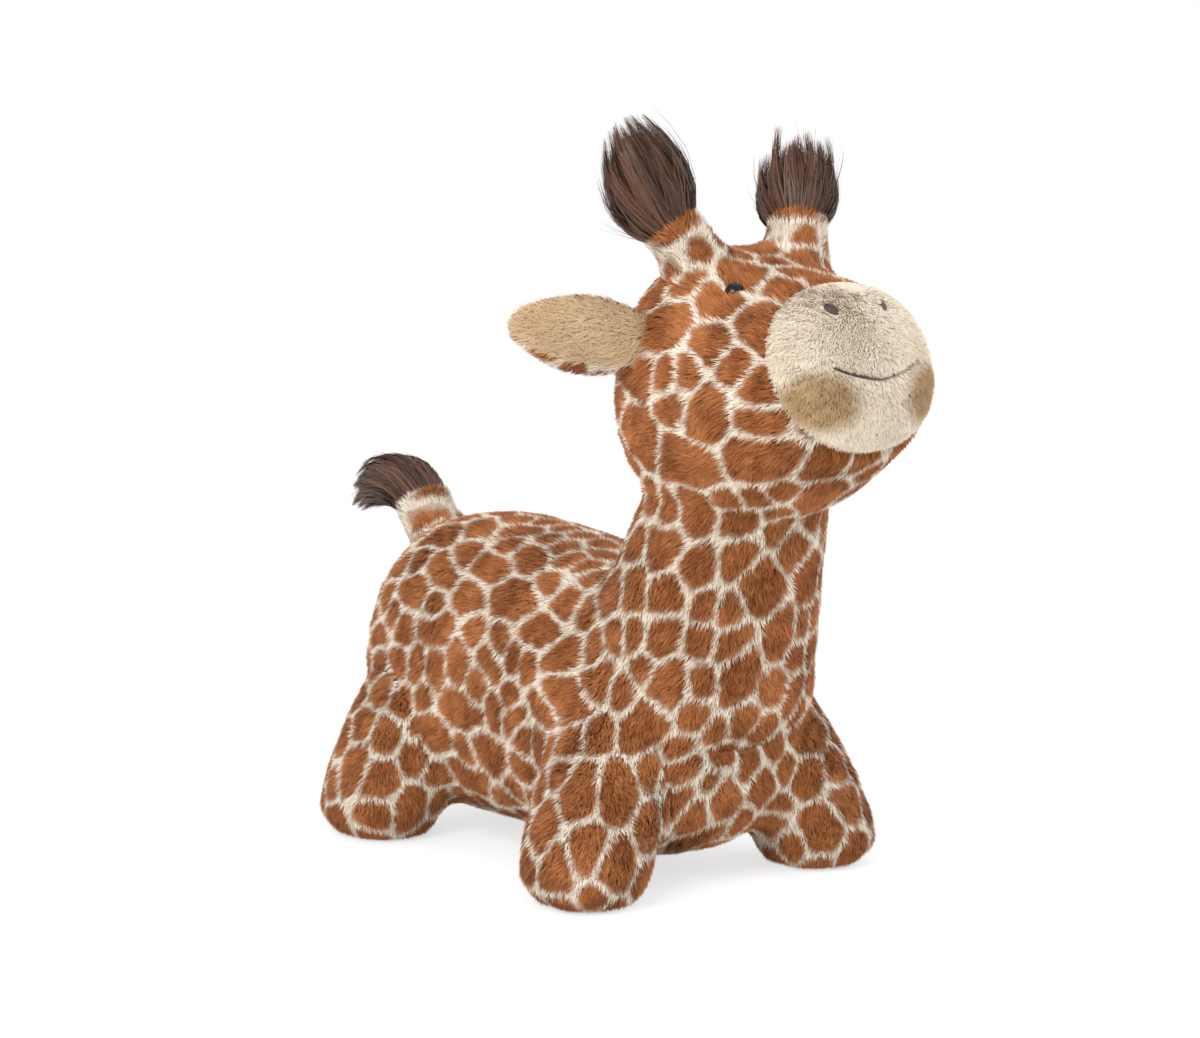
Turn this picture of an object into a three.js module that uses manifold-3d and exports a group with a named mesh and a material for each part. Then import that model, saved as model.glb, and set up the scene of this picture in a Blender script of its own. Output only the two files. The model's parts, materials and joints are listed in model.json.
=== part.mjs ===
// A plush bouncy hopper: an inflated giraffe on four stubby feet, under a zipped plush cover.
// Millimetres. +X is the animal's left, -Y its front and +Z up. The origin lies on the floor,
// under the middle of the model's bounding box.
import * as THREE from "three";
import { mergeVertices } from "three/addons/utils/BufferGeometryUtils.js";
import Module from "manifold-3d";

const wasm = await Module();
wasm.setup();

// Fits and walls
const GAP = 0.3; // between two pieces that touch
const PLUSH = 8; // pile and backing of the cover
const BLADDER_WALL = 1.6;
const ROOT_SINK = 5; // how far an ear, horn or tail root sits into the plush
const SOCKET_GAP = 0.6; // round such a root, so that it can turn

// Torso: a barrel that lies along Y
const TORSO_REAR = 226;
const TORSO_FRONT = -179;
const TORSO_MIDDLE = 128; // height of its centre line
const TORSO_HALF_WIDTH = 104;
const RUMP_RISE = 132; // centre line to the top of the rump
const SHOULDER_RISE = 106;
const BELLY_HEIGHT = 18; // floor to the belly

// Neck: a column that leans forward
const NECK_BASE_Y = -110;
const NECK_BASE_HEIGHT = 128;
const NECK_BASE_HALF = 98;
const NECK_BASE_FRONT = 82; // centre line to the chest
const NECK_BASE_BACK = 80;
const NECK_TOP_Y = -168;
const NECK_TOP_HEIGHT = 298;
const NECK_TOP_HALF = 73;
const NECK_TOP_FRONT = 66;
const NECK_TOP_BACK = 61;

// Head: a rounded body that runs forward and lifts towards the muzzle
const HEAD_LENGTH = 229;
const HEAD_BACK = NECK_TOP_Y + 70;
const MUZZLE_TIP = HEAD_BACK - HEAD_LENGTH;
const HEAD_MIDDLE = NECK_TOP_HEIGHT + 86; // height of its centre line at the back
const HEAD_HALF_WIDTH = 95;
const HEAD_CROWN = 106; // centre line to the crown
const HEAD_JAW = 104; // centre line to the jaw
const MUZZLE_RISE = 40; // of the muzzle tip over the back of the head
const MUZZLE_LIFT = 21; // degrees that the muzzle looks up
const MUZZLE_SEAM = 0.65; // where the muzzle's seam lies, as a share of the head's sections

// Legs, as [hip across, hip along, foot across, foot along]
const FRONT_LEG = [60, -114, 114, -133];
const REAR_LEG = [50, 150, 98, 162];
const HIP_HEIGHT = 158;
const LEG_HALF_WIDTH = 47;
const FRONT_LEG_DEPTH = 51; // centre line to the front, and to the back
const REAR_LEG_DEPTH = 53;
const SOLE_SHARE = 0.52; // of the leg's half width and depth
const SOLE_THICKNESS = 7;

// Ears: a flat leaf, hinged along its root
const EAR_LENGTH = 95; // hinge line to tip
const EAR_HALF_HEIGHT = 33;
const EAR_HALF_THICKNESS = 9.5;
const EAR_ROOT_RADIUS = 8.5;
const EAR_SWEEP = 33; // degrees that it points backwards
const EAR_LIFT = 8; // degrees that it points up
const EAR_AT = [0.37, 20]; // place on the head: share of its sections, degrees round it

// Horns: a stuffed stem with a hair tuft
const HORN_RADIUS = 22;
const HORN_STEM = 15; // pivot to the tuft
const HORN_LENGTH = 99; // pivot to the tip
const HORN_TUFT_RADIUS = 31;
const HORN_OUT = 25; // degrees that it leans outwards
const HORN_BACK = 28; // degrees that it leans back
const HORN_AT = [0.415, 62];

// Tail: a stuffed stem with a hair tuft that curls over
const TAIL_RADIUS = 24;
const TAIL_STEM = 28; // pivot to the tuft
const TAIL_TUFT = 95; // how far the tuft reaches behind the stem
const TAIL_DROP = 6; // of the tuft's end below its start
const TAIL_TUFT_RADIUS = 25;
const TAIL_TILT = 37; // degrees that the stem leans back
const TAIL_AT = [0.195, 90];

// Face
const EYE_RADIUS = 7;
const EYE_HEIGHT = 4.6;
const EYE_SINK = 2.4; // of the eye's rim below the pile
const EYE_SHANK_RADIUS = 2;
const EYE_WASHER_RADIUS = 5.5;
const EYE_WASHER_THICKNESS = 1.2;
const EYE_AT = [0.539, 55.5];
const NOSTRIL_LENGTH = 12;
const NOSTRIL_WIDTH = 8;
const NOSTRIL_THICKNESS = 1.5;
const NOSTRIL_AT = [0.85, 60];
const MOUTH_RADIUS = 1.4;
const MOUTH_HALF_ANGLE = 80; // degrees round the muzzle, each side of the middle
const MOUTH_MIDDLE = 0.96; // share of the head's sections at the smile's lowest point
const MOUTH_CORNER = 0.89;
const STITCH_SINK = 1.5; // of the embroidery below the pile

// Belly zip
const ZIP_MIDDLE = 0; // its centre along Y
const ZIP_LENGTH = 180; // tape
const ZIP_END = 13; // tape beyond the teeth at each end
const TAPE_WIDTH = 11;
const TAPE_THICKNESS = 1;
const TOOTH_PITCH = 5.5;
const TOOTH_LENGTH = 2; // along the zip
const TOOTH_REACH = 1.9; // from the bead towards the other row
const TOOTH_HEIGHT = 2.2;
const BEAD_WIDTH = 1.4; // the strip that holds the teeth
const POST_WIDTH = 1; // the slider's post, which runs between the rows
const SLIDER_LENGTH = 12;
const SLIDER_PLATE = 1;
const LUG_THICKNESS = 0.9;
const LUG_DROP = 2; // slider to the pull's pin
const PIN_RADIUS = 0.7;
const PULL_LENGTH = 12;
const PULL_WIDTH = 3.8;
const PULL_THICKNESS = 1.3;
const STOP_LENGTH = 3;

// Valve, in a pocket of the bladder above the zip
const VALVE_Y = 40;
const POCKET_RADIUS = 17;
const POCKET_DEPTH = 15;
const VALVE_FLANGE_RADIUS = 12;
const VALVE_FLANGE = 2;
const VALVE_NECK_RADIUS = 5;
const VALVE_NECK = 12;
const PLUG_RADIUS = 3;
const PLUG_HEAD_RADIUS = 7;
const PLUG_HEAD = 2.5;
const PLUG_LENGTH = 9;

// Fineness of the meshes
const SIDES = 28;
const INNER_SIDES = 12;
const SOCKET_SIDES = 24;
const CURVE_STEPS = 12;

const MATERIALS = {
  patterned_plush: { color: 0xb57848, roughness: 0.95 },
  cream_plush: { color: 0xdccaa9, roughness: 0.95 },
  hair: { color: 0x3f2d28, roughness: 0.7 },
  stuffing: { color: 0xf1efe9, roughness: 1 },
  bladder: { color: 0xd9a441, roughness: 0.35 },
  valve: { color: 0xe9e9e4, roughness: 0.4 },
  eye: { color: 0x14100f, roughness: 0.08 },
  washer: { color: 0xf2f2ee, roughness: 0.5 },
  thread: { color: 0x4a2c20, roughness: 0.8 },
  zip_tape: { color: 0x8c5a38, roughness: 0.9 },
  zip_teeth: { color: 0x6e4429, roughness: 0.45 },
  zip_metal: { color: 0x8f8a80, roughness: 0.35, metalness: 1 },
};

const radians = THREE.MathUtils.degToRad;
const mix = THREE.MathUtils.lerp;
const clamp = THREE.MathUtils.clamp;

// A form is a list of sections and the power of its superellipse outline. A section has a centre,
// a tilt about X, a half width across X, and a depth to the front and to the back of its centre.
// With a tilt of 0 the sections lie flat; with LYING they stand upright and their front is up.
const LYING = -90;
const flat = (z, half, front = half, back = front) => [0, 0, z, 0, half, front, back];

// The section at a share of the way through a form, on a smooth curve through its sections
function section({ sections }, share) {
  const last = sections.length - 1;
  const place = clamp(share, 0, 1) * last;
  const from = Math.min(Math.floor(place), last - 1);
  const t = place - from;
  const a = sections[from];
  const b = sections[from + 1];
  const before = sections[from - 1] ?? a.map((v, i) => 2 * v - b[i]);
  const after = sections[from + 2] ?? b.map((v, i) => 2 * v - a[i]);
  return a.map((v, i) => {
    const slope = (b[i] - before[i]) / 2;
    const nextSlope = (after[i] - v) / 2;
    const bend = 3 * (b[i] - v) - 2 * slope - nextSlope;
    return v + slope * t + bend * t ** 2 + (2 * (v - b[i]) + slope + nextSlope) * t ** 3;
  });
}

// The point of a form's skin at a share of its sections and an angle round them
function pointOn(form, share, degrees) {
  const [x, y, z, tilt, half, front, back] = section(form, share);
  const power = 2 / (form.power ?? 2);
  const c = Math.cos(radians(degrees));
  const s = Math.sin(radians(degrees));
  const depth = (s > 0 ? front : back) * Math.sign(s) * Math.abs(s) ** power;
  return new THREE.Vector3(
    x + half * Math.sign(c) * Math.abs(c) ** power,
    y - depth * Math.cos(radians(tilt)),
    z - depth * Math.sin(radians(tilt)),
  );
}

// The outward normal there, from two short steps over the skin
function normalOn(form, share, degrees) {
  const step = 0.01;
  const along = pointOn(form, share + step, degrees).sub(pointOn(form, share - step, degrees));
  const round = pointOn(form, share, degrees + 1).sub(pointOn(form, share, degrees - 1));
  const [x, y, z] = section(form, share);
  const outward = pointOn(form, share, degrees).sub(new THREE.Vector3(x, y, z));
  const normal = round.cross(along).normalize();
  return normal.dot(outward) < 0 ? normal.negate() : normal;
}

// The closed skin of a form: rings of points, and a centre point at each end
function skin(form, rings, sides) {
  const points = [];
  const faces = [];
  for (let ring = 0; ring < rings; ring++)
    for (let side = 0; side < sides; side++)
      points.push(pointOn(form, ring / (rings - 1), (360 * side) / sides));
  const ends = [0, 1].map((share) => new THREE.Vector3(...section(form, share).slice(0, 3)));
  points.push(...ends);
  for (let side = 0; side < sides; side++) {
    const next = (side + 1) % sides;
    const top = (rings - 1) * sides;
    for (let ring = 0; ring < rings - 1; ring++) {
      const a = ring * sides;
      const b = a + sides;
      faces.push(a + side, b + side, b + next, a + side, b + next, a + next);
    }
    faces.push(rings * sides, side, next, rings * sides + 1, top + next, top + side);
  }
  const geometry = new THREE.BufferGeometry().setFromPoints(points);
  geometry.setIndex(faces);
  return outward(geometry);
}

// A closed mesh with its faces pointing out
function outward(geometry) {
  const p = geometry.attributes.position;
  const f = geometry.index.array;
  const corner = [0, 1, 2].map(() => new THREE.Vector3());
  let volume = 0;
  for (let i = 0; i < f.length; i += 3) {
    corner.forEach((v, k) => v.fromBufferAttribute(p, f[i + k]));
    volume += corner[0].dot(corner[1].clone().cross(corner[2]));
  }
  if (volume < 0) for (let i = 0; i < f.length; i += 3) [f[i], f[i + 1]] = [f[i + 1], f[i]];
  return geometry;
}

// A copy whose points have moved along their normals
function grown(geometry, distance) {
  const copy = geometry.clone();
  copy.computeVertexNormals();
  const { position, normal } = copy.attributes;
  const point = new THREE.Vector3();
  const way = new THREE.Vector3();
  for (let i = 0; i < position.count; i++) {
    point.fromBufferAttribute(position, i);
    point.addScaledVector(way.fromBufferAttribute(normal, i), distance);
    position.setXYZ(i, point.x, point.y, point.z);
  }
  copy.deleteAttribute("normal");
  return copy;
}

// From a geometry to a solid that can be cut, and back
function solid(geometry) {
  const bare = geometry.clone();
  bare.deleteAttribute("normal");
  bare.deleteAttribute("uv");
  const merged = outward(mergeVertices(bare, 1e-4));
  return new wasm.Manifold(
    new wasm.Mesh({
      numProp: 3,
      vertProperties: merged.attributes.position.array,
      triVerts: new Uint32Array(merged.index.array),
    }),
  );
}

function geometryOf(made) {
  const { vertProperties, triVerts } = made.getMesh();
  return new THREE.BufferGeometry()
    .setAttribute("position", new THREE.BufferAttribute(vertProperties, 3))
    .setIndex(new THREE.BufferAttribute(triVerts, 1));
}

// The largest body of a cut solid, without the slivers that a cut can leave
const largest = (made) =>
  made.decompose().reduce((best, body) => (body.volume() > best.volume() ? body : best));
const cut = (whole, ...tools) => tools.reduce((rest, tool) => rest.subtract(tool), whole);
const join = (...solids) => solids.reduce((all, one) => all.add(one));

const box = (w, d, h, x, y, z) => new THREE.BoxGeometry(w, d, h).translate(x, y, z);

// A turned piece along Z, from [radius, height] corners that start and end on the axis
const turned = (corners, segments = CURVE_STEPS) =>
  new THREE.LatheGeometry(corners.map(([r, z]) => new THREE.Vector2(r, z)), segments)
    .rotateX(Math.PI / 2);
const disc = (radius, low, high, segments) =>
  turned([[0, low], [radius, low], [radius, high], [0, high]], segments);
const ringDisc = (bore, radius, low, high, segments) =>
  turned([[bore, low], [radius, low], [radius, high], [bore, high], [bore, low]], segments);

const group = new THREE.Group();

function add(name, geometry, material, parent = group) {
  const look = new THREE.MeshStandardMaterial(MATERIALS[material]);
  const mesh = new THREE.Mesh(geometry, look);
  mesh.name = name;
  parent.add(mesh);
  return mesh;
}

// The large forms, from station lists of shares of their own driving dimensions

// Torso stations: [share of the length, of the half width, of the rise, of the drop to the belly]
const TORSO_STATIONS = [
  [0, 0.08, 0.06, 0.07],
  [0.012, 0.48, 0.46, 0.45],
  [0.07, 0.83, 0.85, 0.8],
  [0.21, 0.94, 1.05, 0.98],
  [0.41, 0.95, 1.09, 1],
  [0.61, 0.98, 1.045, 1],
  [0.78, 1.02, 0.95, 1],
  [0.9, 0.94, 0.75, 0.89],
  [0.99, 0.58, 0.48, 0.55],
  [1, 0.08, 0.08, 0.07],
];
const torso = {
  power: 2.3,
  sections: TORSO_STATIONS.map(([share, wide, rise, drop]) => [
    0,
    mix(TORSO_REAR, TORSO_FRONT, share),
    TORSO_MIDDLE,
    LYING,
    TORSO_HALF_WIDTH * wide,
    mix(RUMP_RISE, SHOULDER_RISE, share) * rise,
    (TORSO_MIDDLE - BELLY_HEIGHT) * drop,
  ]),
};

// Neck stations: [share of the way up, fullness]
const NECK_STATIONS = [
  [-0.28, 0.6],
  [0, 1],
  [0.35, 1.03],
  [0.7, 1.01],
  [1, 1],
  [1.25, 0.84],
];
const neck = {
  power: 2.2,
  sections: NECK_STATIONS.map(([share, full]) => [
    0,
    mix(NECK_BASE_Y, NECK_TOP_Y, share),
    mix(NECK_BASE_HEIGHT, NECK_TOP_HEIGHT, share),
    0,
    mix(NECK_BASE_HALF, NECK_TOP_HALF, share) * full,
    mix(NECK_BASE_FRONT, NECK_TOP_FRONT, share) * full,
    mix(NECK_BASE_BACK, NECK_TOP_BACK, share) * full,
  ]),
};

// Head stations: [share of the length, of the half width, of the crown, of the jaw]
const HEAD_STATIONS = [
  [0, 0.1, 0.09, 0.1],
  [0.0175, 0.51, 0.51, 0.48],
  [0.114, 0.82, 0.86, 0.85],
  [0.316, 0.99, 1, 1.02],
  [0.579, 1.02, 0.86, 0.94],
  [0.838, 0.84, 0.62, 0.69],
  [0.925, 0.69, 0.53, 0.56],
  [0.978, 0.45, 0.36, 0.37],
  [1, 0.08, 0.08, 0.08],
];
const LIFT_FROM = 0.15; // shares of the head's length between which it turns up
const LIFT_TO = 0.84;
const head = {
  power: 2.1,
  sections: HEAD_STATIONS.map(([share, wide, crown, jaw]) => [
    0,
    mix(HEAD_BACK, MUZZLE_TIP, share),
    HEAD_MIDDLE + MUZZLE_RISE * share ** 2,
    LYING - MUZZLE_LIFT * clamp((share - LIFT_FROM) / (LIFT_TO - LIFT_FROM), 0, 1),
    HEAD_HALF_WIDTH * wide,
    HEAD_CROWN * crown,
    HEAD_JAW * jaw,
  ]),
};

// Leg stations: [share of the way down, fullness]
const LEG_STATIONS = [
  [0, 0.87],
  [0.32, 0.98],
  [0.63, 1.02],
  [0.85, 0.98],
  [0.96, 0.78],
  [1, SOLE_SHARE],
];
const LEG_STRAIGHT = 0.8; // share of the way down from which a leg drops straight
const leg = ([hipX, hipY, footX, footY], depth, side) => ({
  power: 2.2,
  sections: LEG_STATIONS.map(([share, full]) => [
    side * mix(hipX, footX, Math.min(share / LEG_STRAIGHT, 1)),
    mix(hipY, footY, Math.min(share / LEG_STRAIGHT, 1)),
    HIP_HEIGHT * (1 - share),
    0,
    LEG_HALF_WIDTH * full,
    depth * full,
    depth * full,
  ]),
});

const SIDE_NAMES = [["left", 1], ["right", -1]];
const legs = SIDE_NAMES.flatMap(([name, side]) => [
  { name: "front_" + name, form: leg(FRONT_LEG, FRONT_LEG_DEPTH, side) },
  { name: "rear_" + name, form: leg(REAR_LEG, REAR_LEG_DEPTH, side) },
]);

// Each form as a fine outer skin, and as a coarse one for the insides
const RINGS = { torso: 20, neck: 9, head: 18, leg: 9 };
const INNER_RINGS = { torso: 9, neck: 5, head: 9, leg: 5 };
const outer = {
  torso: skin(torso, RINGS.torso, SIDES),
  neck: skin(neck, RINGS.neck, SIDES),
  head: skin(head, RINGS.head, SIDES),
};
const inner = [
  skin(torso, INNER_RINGS.torso, INNER_SIDES),
  skin(neck, INNER_RINGS.neck, INNER_SIDES),
  skin(head, INNER_RINGS.head, INNER_SIDES),
  ...legs.map(({ form }) => skin(form, INNER_RINGS.leg, INNER_SIDES)),
];
const hollow = (depth) => join(...inner.map((shape) => solid(grown(shape, -depth))));

// Sockets: where an ear, a horn or the tail is rooted in the cover
const onHead = ([share, degrees], side) => {
  const angle = side > 0 ? degrees : 180 - degrees;
  return { point: pointOn(head, share, angle), normal: normalOn(head, share, angle) };
};

// An ear's frame: X up its root, Y to the front, Z out to its tip
function earFrame(side) {
  const { point, normal } = onHead(EAR_AT, side);
  const sweep = radians(EAR_SWEEP);
  const lift = radians(EAR_LIFT);
  const tip = new THREE.Vector3(
    side * Math.cos(sweep) * Math.cos(lift),
    Math.sin(sweep) * Math.cos(lift),
    Math.sin(lift),
  );
  const across = new THREE.Vector3(0, -1, 0).addScaledVector(tip, tip.y).normalize();
  const up = across.clone().cross(tip);
  const at = point.addScaledVector(normal, EAR_ROOT_RADIUS - ROOT_SINK);
  return new THREE.Matrix4().makeBasis(up, across, tip).setPosition(at);
}

// A horn's frame: Z up the horn, with its pivot at the origin
function hornFrame(side) {
  const { point, normal } = onHead(HORN_AT, side);
  const at = point.addScaledVector(normal, HORN_RADIUS - ROOT_SINK);
  const lean = new THREE.Euler(-radians(HORN_BACK), side * radians(HORN_OUT), 0, "YXZ");
  return new THREE.Matrix4().makeRotationFromEuler(lean).setPosition(at);
}

// The tail's pivot, over the rump
const tailPivot = pointOn(torso, ...TAIL_AT);
tailPivot.addScaledVector(normalOn(torso, ...TAIL_AT), TAIL_RADIUS - ROOT_SINK);

const ball = (at, radius) => {
  const sphere = new THREE.SphereGeometry(radius, SOCKET_SIDES, SOCKET_SIDES / 2);
  return solid(sphere.translate(at.x, at.y, at.z));
};
const earSocket = (side) => {
  const radius = EAR_ROOT_RADIUS + SOCKET_GAP;
  const length = 2 * (EAR_HALF_HEIGHT + SOCKET_GAP);
  const rod = new THREE.CylinderGeometry(radius, radius, length, SOCKET_SIDES);
  return solid(rod.rotateZ(Math.PI / 2).applyMatrix4(earFrame(side)));
};
const hornSocket = (side) =>
  ball(new THREE.Vector3().setFromMatrixPosition(hornFrame(side)), HORN_RADIUS + SOCKET_GAP);

// Eyes: a domed button on a shank, held by a washer behind the backing
const EYE_BACK = EYE_WASHER_THICKNESS + 2 * GAP; // room that the washer takes in the cover
const WASHER_TOP = -PLUSH + EYE_BACK - GAP;
function buttonFrame(place, side, turn = 0) {
  const { point, normal } = onHead(place, side);
  const up = new THREE.Vector3(0, 0, 1).addScaledVector(normal, -normal.z).normalize();
  const across = up.clone().cross(normal);
  const frame = new THREE.Matrix4().makeBasis(across, up, normal).setPosition(point);
  return frame.multiply(new THREE.Matrix4().makeRotationZ(side * radians(turn)));
}
const eyeGeometry = () => {
  const dome = [0, 1, 2, 3, 4].map((i) => [
    EYE_RADIUS * Math.cos((i / 4) * (Math.PI / 2)),
    EYE_HEIGHT * Math.sin((i / 4) * (Math.PI / 2)) - EYE_SINK,
  ]);
  dome[4][0] = 0;
  return turned([
    [0, -PLUSH + GAP],
    [EYE_SHANK_RADIUS, -PLUSH + GAP],
    [EYE_SHANK_RADIUS, -EYE_SINK - GAP],
    [EYE_RADIUS, -EYE_SINK - GAP],
    ...dome,
  ]);
};
const washerGeometry = () =>
  ringDisc(
    EYE_SHANK_RADIUS + GAP, EYE_WASHER_RADIUS, WASHER_TOP - EYE_WASHER_THICKNESS, WASHER_TOP,
  );
const eyeSeat = (side) =>
  join(
    solid(disc(EYE_RADIUS + GAP, -EYE_SINK - 2 * GAP, PLUSH)),
    solid(disc(EYE_SHANK_RADIUS + GAP, -2 * PLUSH, 0)),
    solid(disc(EYE_WASHER_RADIUS + GAP, -2 * PLUSH, -PLUSH + EYE_BACK)),
  ).transform(buttonFrame(EYE_AT, side).elements);

// Nostrils: padded ovals of satin stitch
const NOSTRIL_TURN = 38;
const nostrilPad = () =>
  disc(0.5, -STITCH_SINK - NOSTRIL_THICKNESS, -STITCH_SINK).scale(NOSTRIL_LENGTH, NOSTRIL_WIDTH, 1);
const nostrilSeat = (side) =>
  solid(
    disc(0.5, -STITCH_SINK - NOSTRIL_THICKNESS - GAP, PLUSH)
      .scale(NOSTRIL_LENGTH + 2 * GAP, NOSTRIL_WIDTH + 2 * GAP, 1)
      .applyMatrix4(buttonFrame(NOSTRIL_AT, side, NOSTRIL_TURN)),
  );

// Mouth: one stitched line over the front of the muzzle
function mouthTube(radius, extra) {
  const steps = CURVE_STEPS;
  const points = [];
  for (let i = 0; i <= steps; i++) {
    const way = (2 * i) / steps - 1;
    const reach = way * (MOUTH_HALF_ANGLE + extra);
    const share = mix(MOUTH_MIDDLE, MOUTH_CORNER, Math.abs(way) ** 3);
    const point = pointOn(head, share, 270 + reach);
    points.push(point.addScaledVector(normalOn(head, share, 270 + reach), -STITCH_SINK));
  }
  const outline = new THREE.Shape().absarc(0, 0, radius, 0, 2 * Math.PI);
  const extrudePath = new THREE.CatmullRomCurve3(points);
  return new THREE.ExtrudeGeometry(outline, { extrudePath, steps: steps + 4, curveSegments: 6 });
}

// The muzzle's seam is a plane: everything before it is muzzle
const seam = section(head, MUZZLE_SEAM);
const HALF_SPACE = 400;
function seamBlock(forward, gap) {
  const block = box(HALF_SPACE, HALF_SPACE, HALF_SPACE, 0, forward * (HALF_SPACE / 2 + gap), 0);
  block.rotateX(radians(seam[3] - LYING)).translate(seam[0], seam[1], seam[2]);
  return solid(block);
}

// Zip levels, up from the belly
const SLIDER_HEIGHT = TOOTH_HEIGHT + 2 * (GAP + SLIDER_PLATE);
const ZIP_LEVEL = BELLY_HEIGHT + PLUSH - SLIDER_HEIGHT / 2 - 3 * GAP;
const ROW_GAP = POST_WIDTH + 2 * GAP; // between the tooth tips
const BEAD_IN = ROW_GAP / 2 + TOOTH_REACH;
const TAPE_IN = BEAD_IN + BEAD_WIDTH + GAP;
const SLOT_HALF = TAPE_IN + TAPE_WIDTH + GAP;
const zipSlot = solid(
  box(2 * SLOT_HALF, ZIP_LENGTH + 2 * GAP, 4 * PLUSH, 0, ZIP_MIDDLE, BELLY_HEIGHT + PLUSH / 2),
);

// Covers, each cut by the larger forms and hollowed for the bladder
const cavity = hollow(PLUSH);
const torsoGrown = solid(grown(outer.torso, GAP));
const neckGrown = solid(grown(outer.neck, GAP));
const headGrown = solid(grown(outer.head, GAP));
const sides = SIDE_NAMES.map(([, side]) => side);
const cover = (name, shape, material, ...tools) =>
  add(name, geometryOf(largest(cut(shape, cavity, ...tools))), material);

cover(
  "torso_cover", solid(outer.torso), "patterned_plush",
  zipSlot, ball(tailPivot, TAIL_RADIUS + SOCKET_GAP),
);
cover("neck_cover", solid(outer.neck), "patterned_plush", torsoGrown, headGrown);
cover(
  "head_cover", solid(outer.head), "patterned_plush", seamBlock(-1, -GAP / 2),
  ...sides.flatMap((side) => [earSocket(side), hornSocket(side), eyeSeat(side)]),
);
cover(
  "muzzle_cover", solid(outer.head), "cream_plush", seamBlock(1, -GAP / 2),
  solid(mouthTube(MOUTH_RADIUS + 2 * GAP, 1)), ...sides.map(nostrilSeat),
);

// Feet: a leg cover with an oval sole panel let into its flat underside
for (const { name, form } of legs) {
  const foot = section(form, 1);
  const sole = (extra, height) => {
    const outline = new THREE.Shape();
    for (let i = 0; i < SIDES; i++) {
      const rim = pointOn({ ...form, sections: [foot, foot] }, 0, (360 * i) / SIDES);
      const way = new THREE.Vector2(rim.x - foot[0], rim.y - foot[1]);
      way.setLength(way.length() + extra);
      outline[i ? "lineTo" : "moveTo"](foot[0] + way.x, foot[1] + way.y);
    }
    return new THREE.ExtrudeGeometry(outline, { depth: height, bevelEnabled: false });
  };
  const through = sole(-2 * GAP, 2 * PLUSH).translate(0, 0, -PLUSH);
  cover(
    "leg_cover_" + name, solid(skin(form, RINGS.leg, SIDES)), "patterned_plush",
    torsoGrown, neckGrown, solid(through),
  );
  add("sole_panel_" + name, sole(-3 * GAP, SOLE_THICKNESS), "patterned_plush");
}

// Bladder: one hollow shell with a valve pocket in its belly
const BLADDER_BELLY = BELLY_HEIGHT + PLUSH + GAP;
const POCKET_ROOF = BLADDER_BELLY + POCKET_DEPTH;
const valveAt = (geometry) => geometry.translate(0, VALVE_Y, POCKET_ROOF);
const pocket = (extra) => solid(valveAt(disc(POCKET_RADIUS + extra, -2 * POCKET_DEPTH, extra)));
const bladder = cut(
  hollow(PLUSH + GAP),
  cut(hollow(PLUSH + GAP + BLADDER_WALL), pocket(BLADDER_WALL)),
  pocket(0),
  solid(valveAt(disc(VALVE_NECK_RADIUS + GAP, -1, 2 * BLADDER_WALL))),
);
add("air_bladder", geometryOf(largest(bladder)), "bladder");

// Valve: a flanged neck under the pocket's roof, and a stopper that pulls out downwards
const PLUG_BORE = PLUG_RADIUS + GAP;
add(
  "valve_seat",
  valveAt(
    turned([
      [PLUG_BORE, -GAP - VALVE_FLANGE],
      [VALVE_FLANGE_RADIUS, -GAP - VALVE_FLANGE],
      [VALVE_FLANGE_RADIUS, -GAP],
      [VALVE_NECK_RADIUS, -GAP],
      [VALVE_NECK_RADIUS, VALVE_NECK],
      [PLUG_BORE, VALVE_NECK],
      [PLUG_BORE, -GAP - VALVE_FLANGE],
    ]),
  ),
  "valve",
);
const PLUG_TOP = -2 * GAP - VALVE_FLANGE;
add(
  "valve_plug",
  valveAt(
    turned([
      [0, PLUG_TOP - PLUG_HEAD],
      [PLUG_HEAD_RADIUS, PLUG_TOP - PLUG_HEAD],
      [PLUG_HEAD_RADIUS, PLUG_TOP],
      [PLUG_RADIUS, PLUG_TOP],
      [PLUG_RADIUS, PLUG_TOP + PLUG_LENGTH],
      [0, PLUG_TOP + PLUG_LENGTH],
    ]),
  ),
  "valve",
);

// Eyes, nostrils and mouth
for (const [name, side] of SIDE_NAMES) {
  const eye = buttonFrame(EYE_AT, side);
  add("eye_" + name, eyeGeometry().applyMatrix4(eye), "eye");
  add("eye_washer_" + name, washerGeometry().applyMatrix4(eye), "washer");
  const nostril = buttonFrame(NOSTRIL_AT, side, NOSTRIL_TURN);
  add("nostril_" + name, nostrilPad().applyMatrix4(nostril), "thread");
}
add("mouth", mouthTube(MOUTH_RADIUS, 0), "thread");

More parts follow.
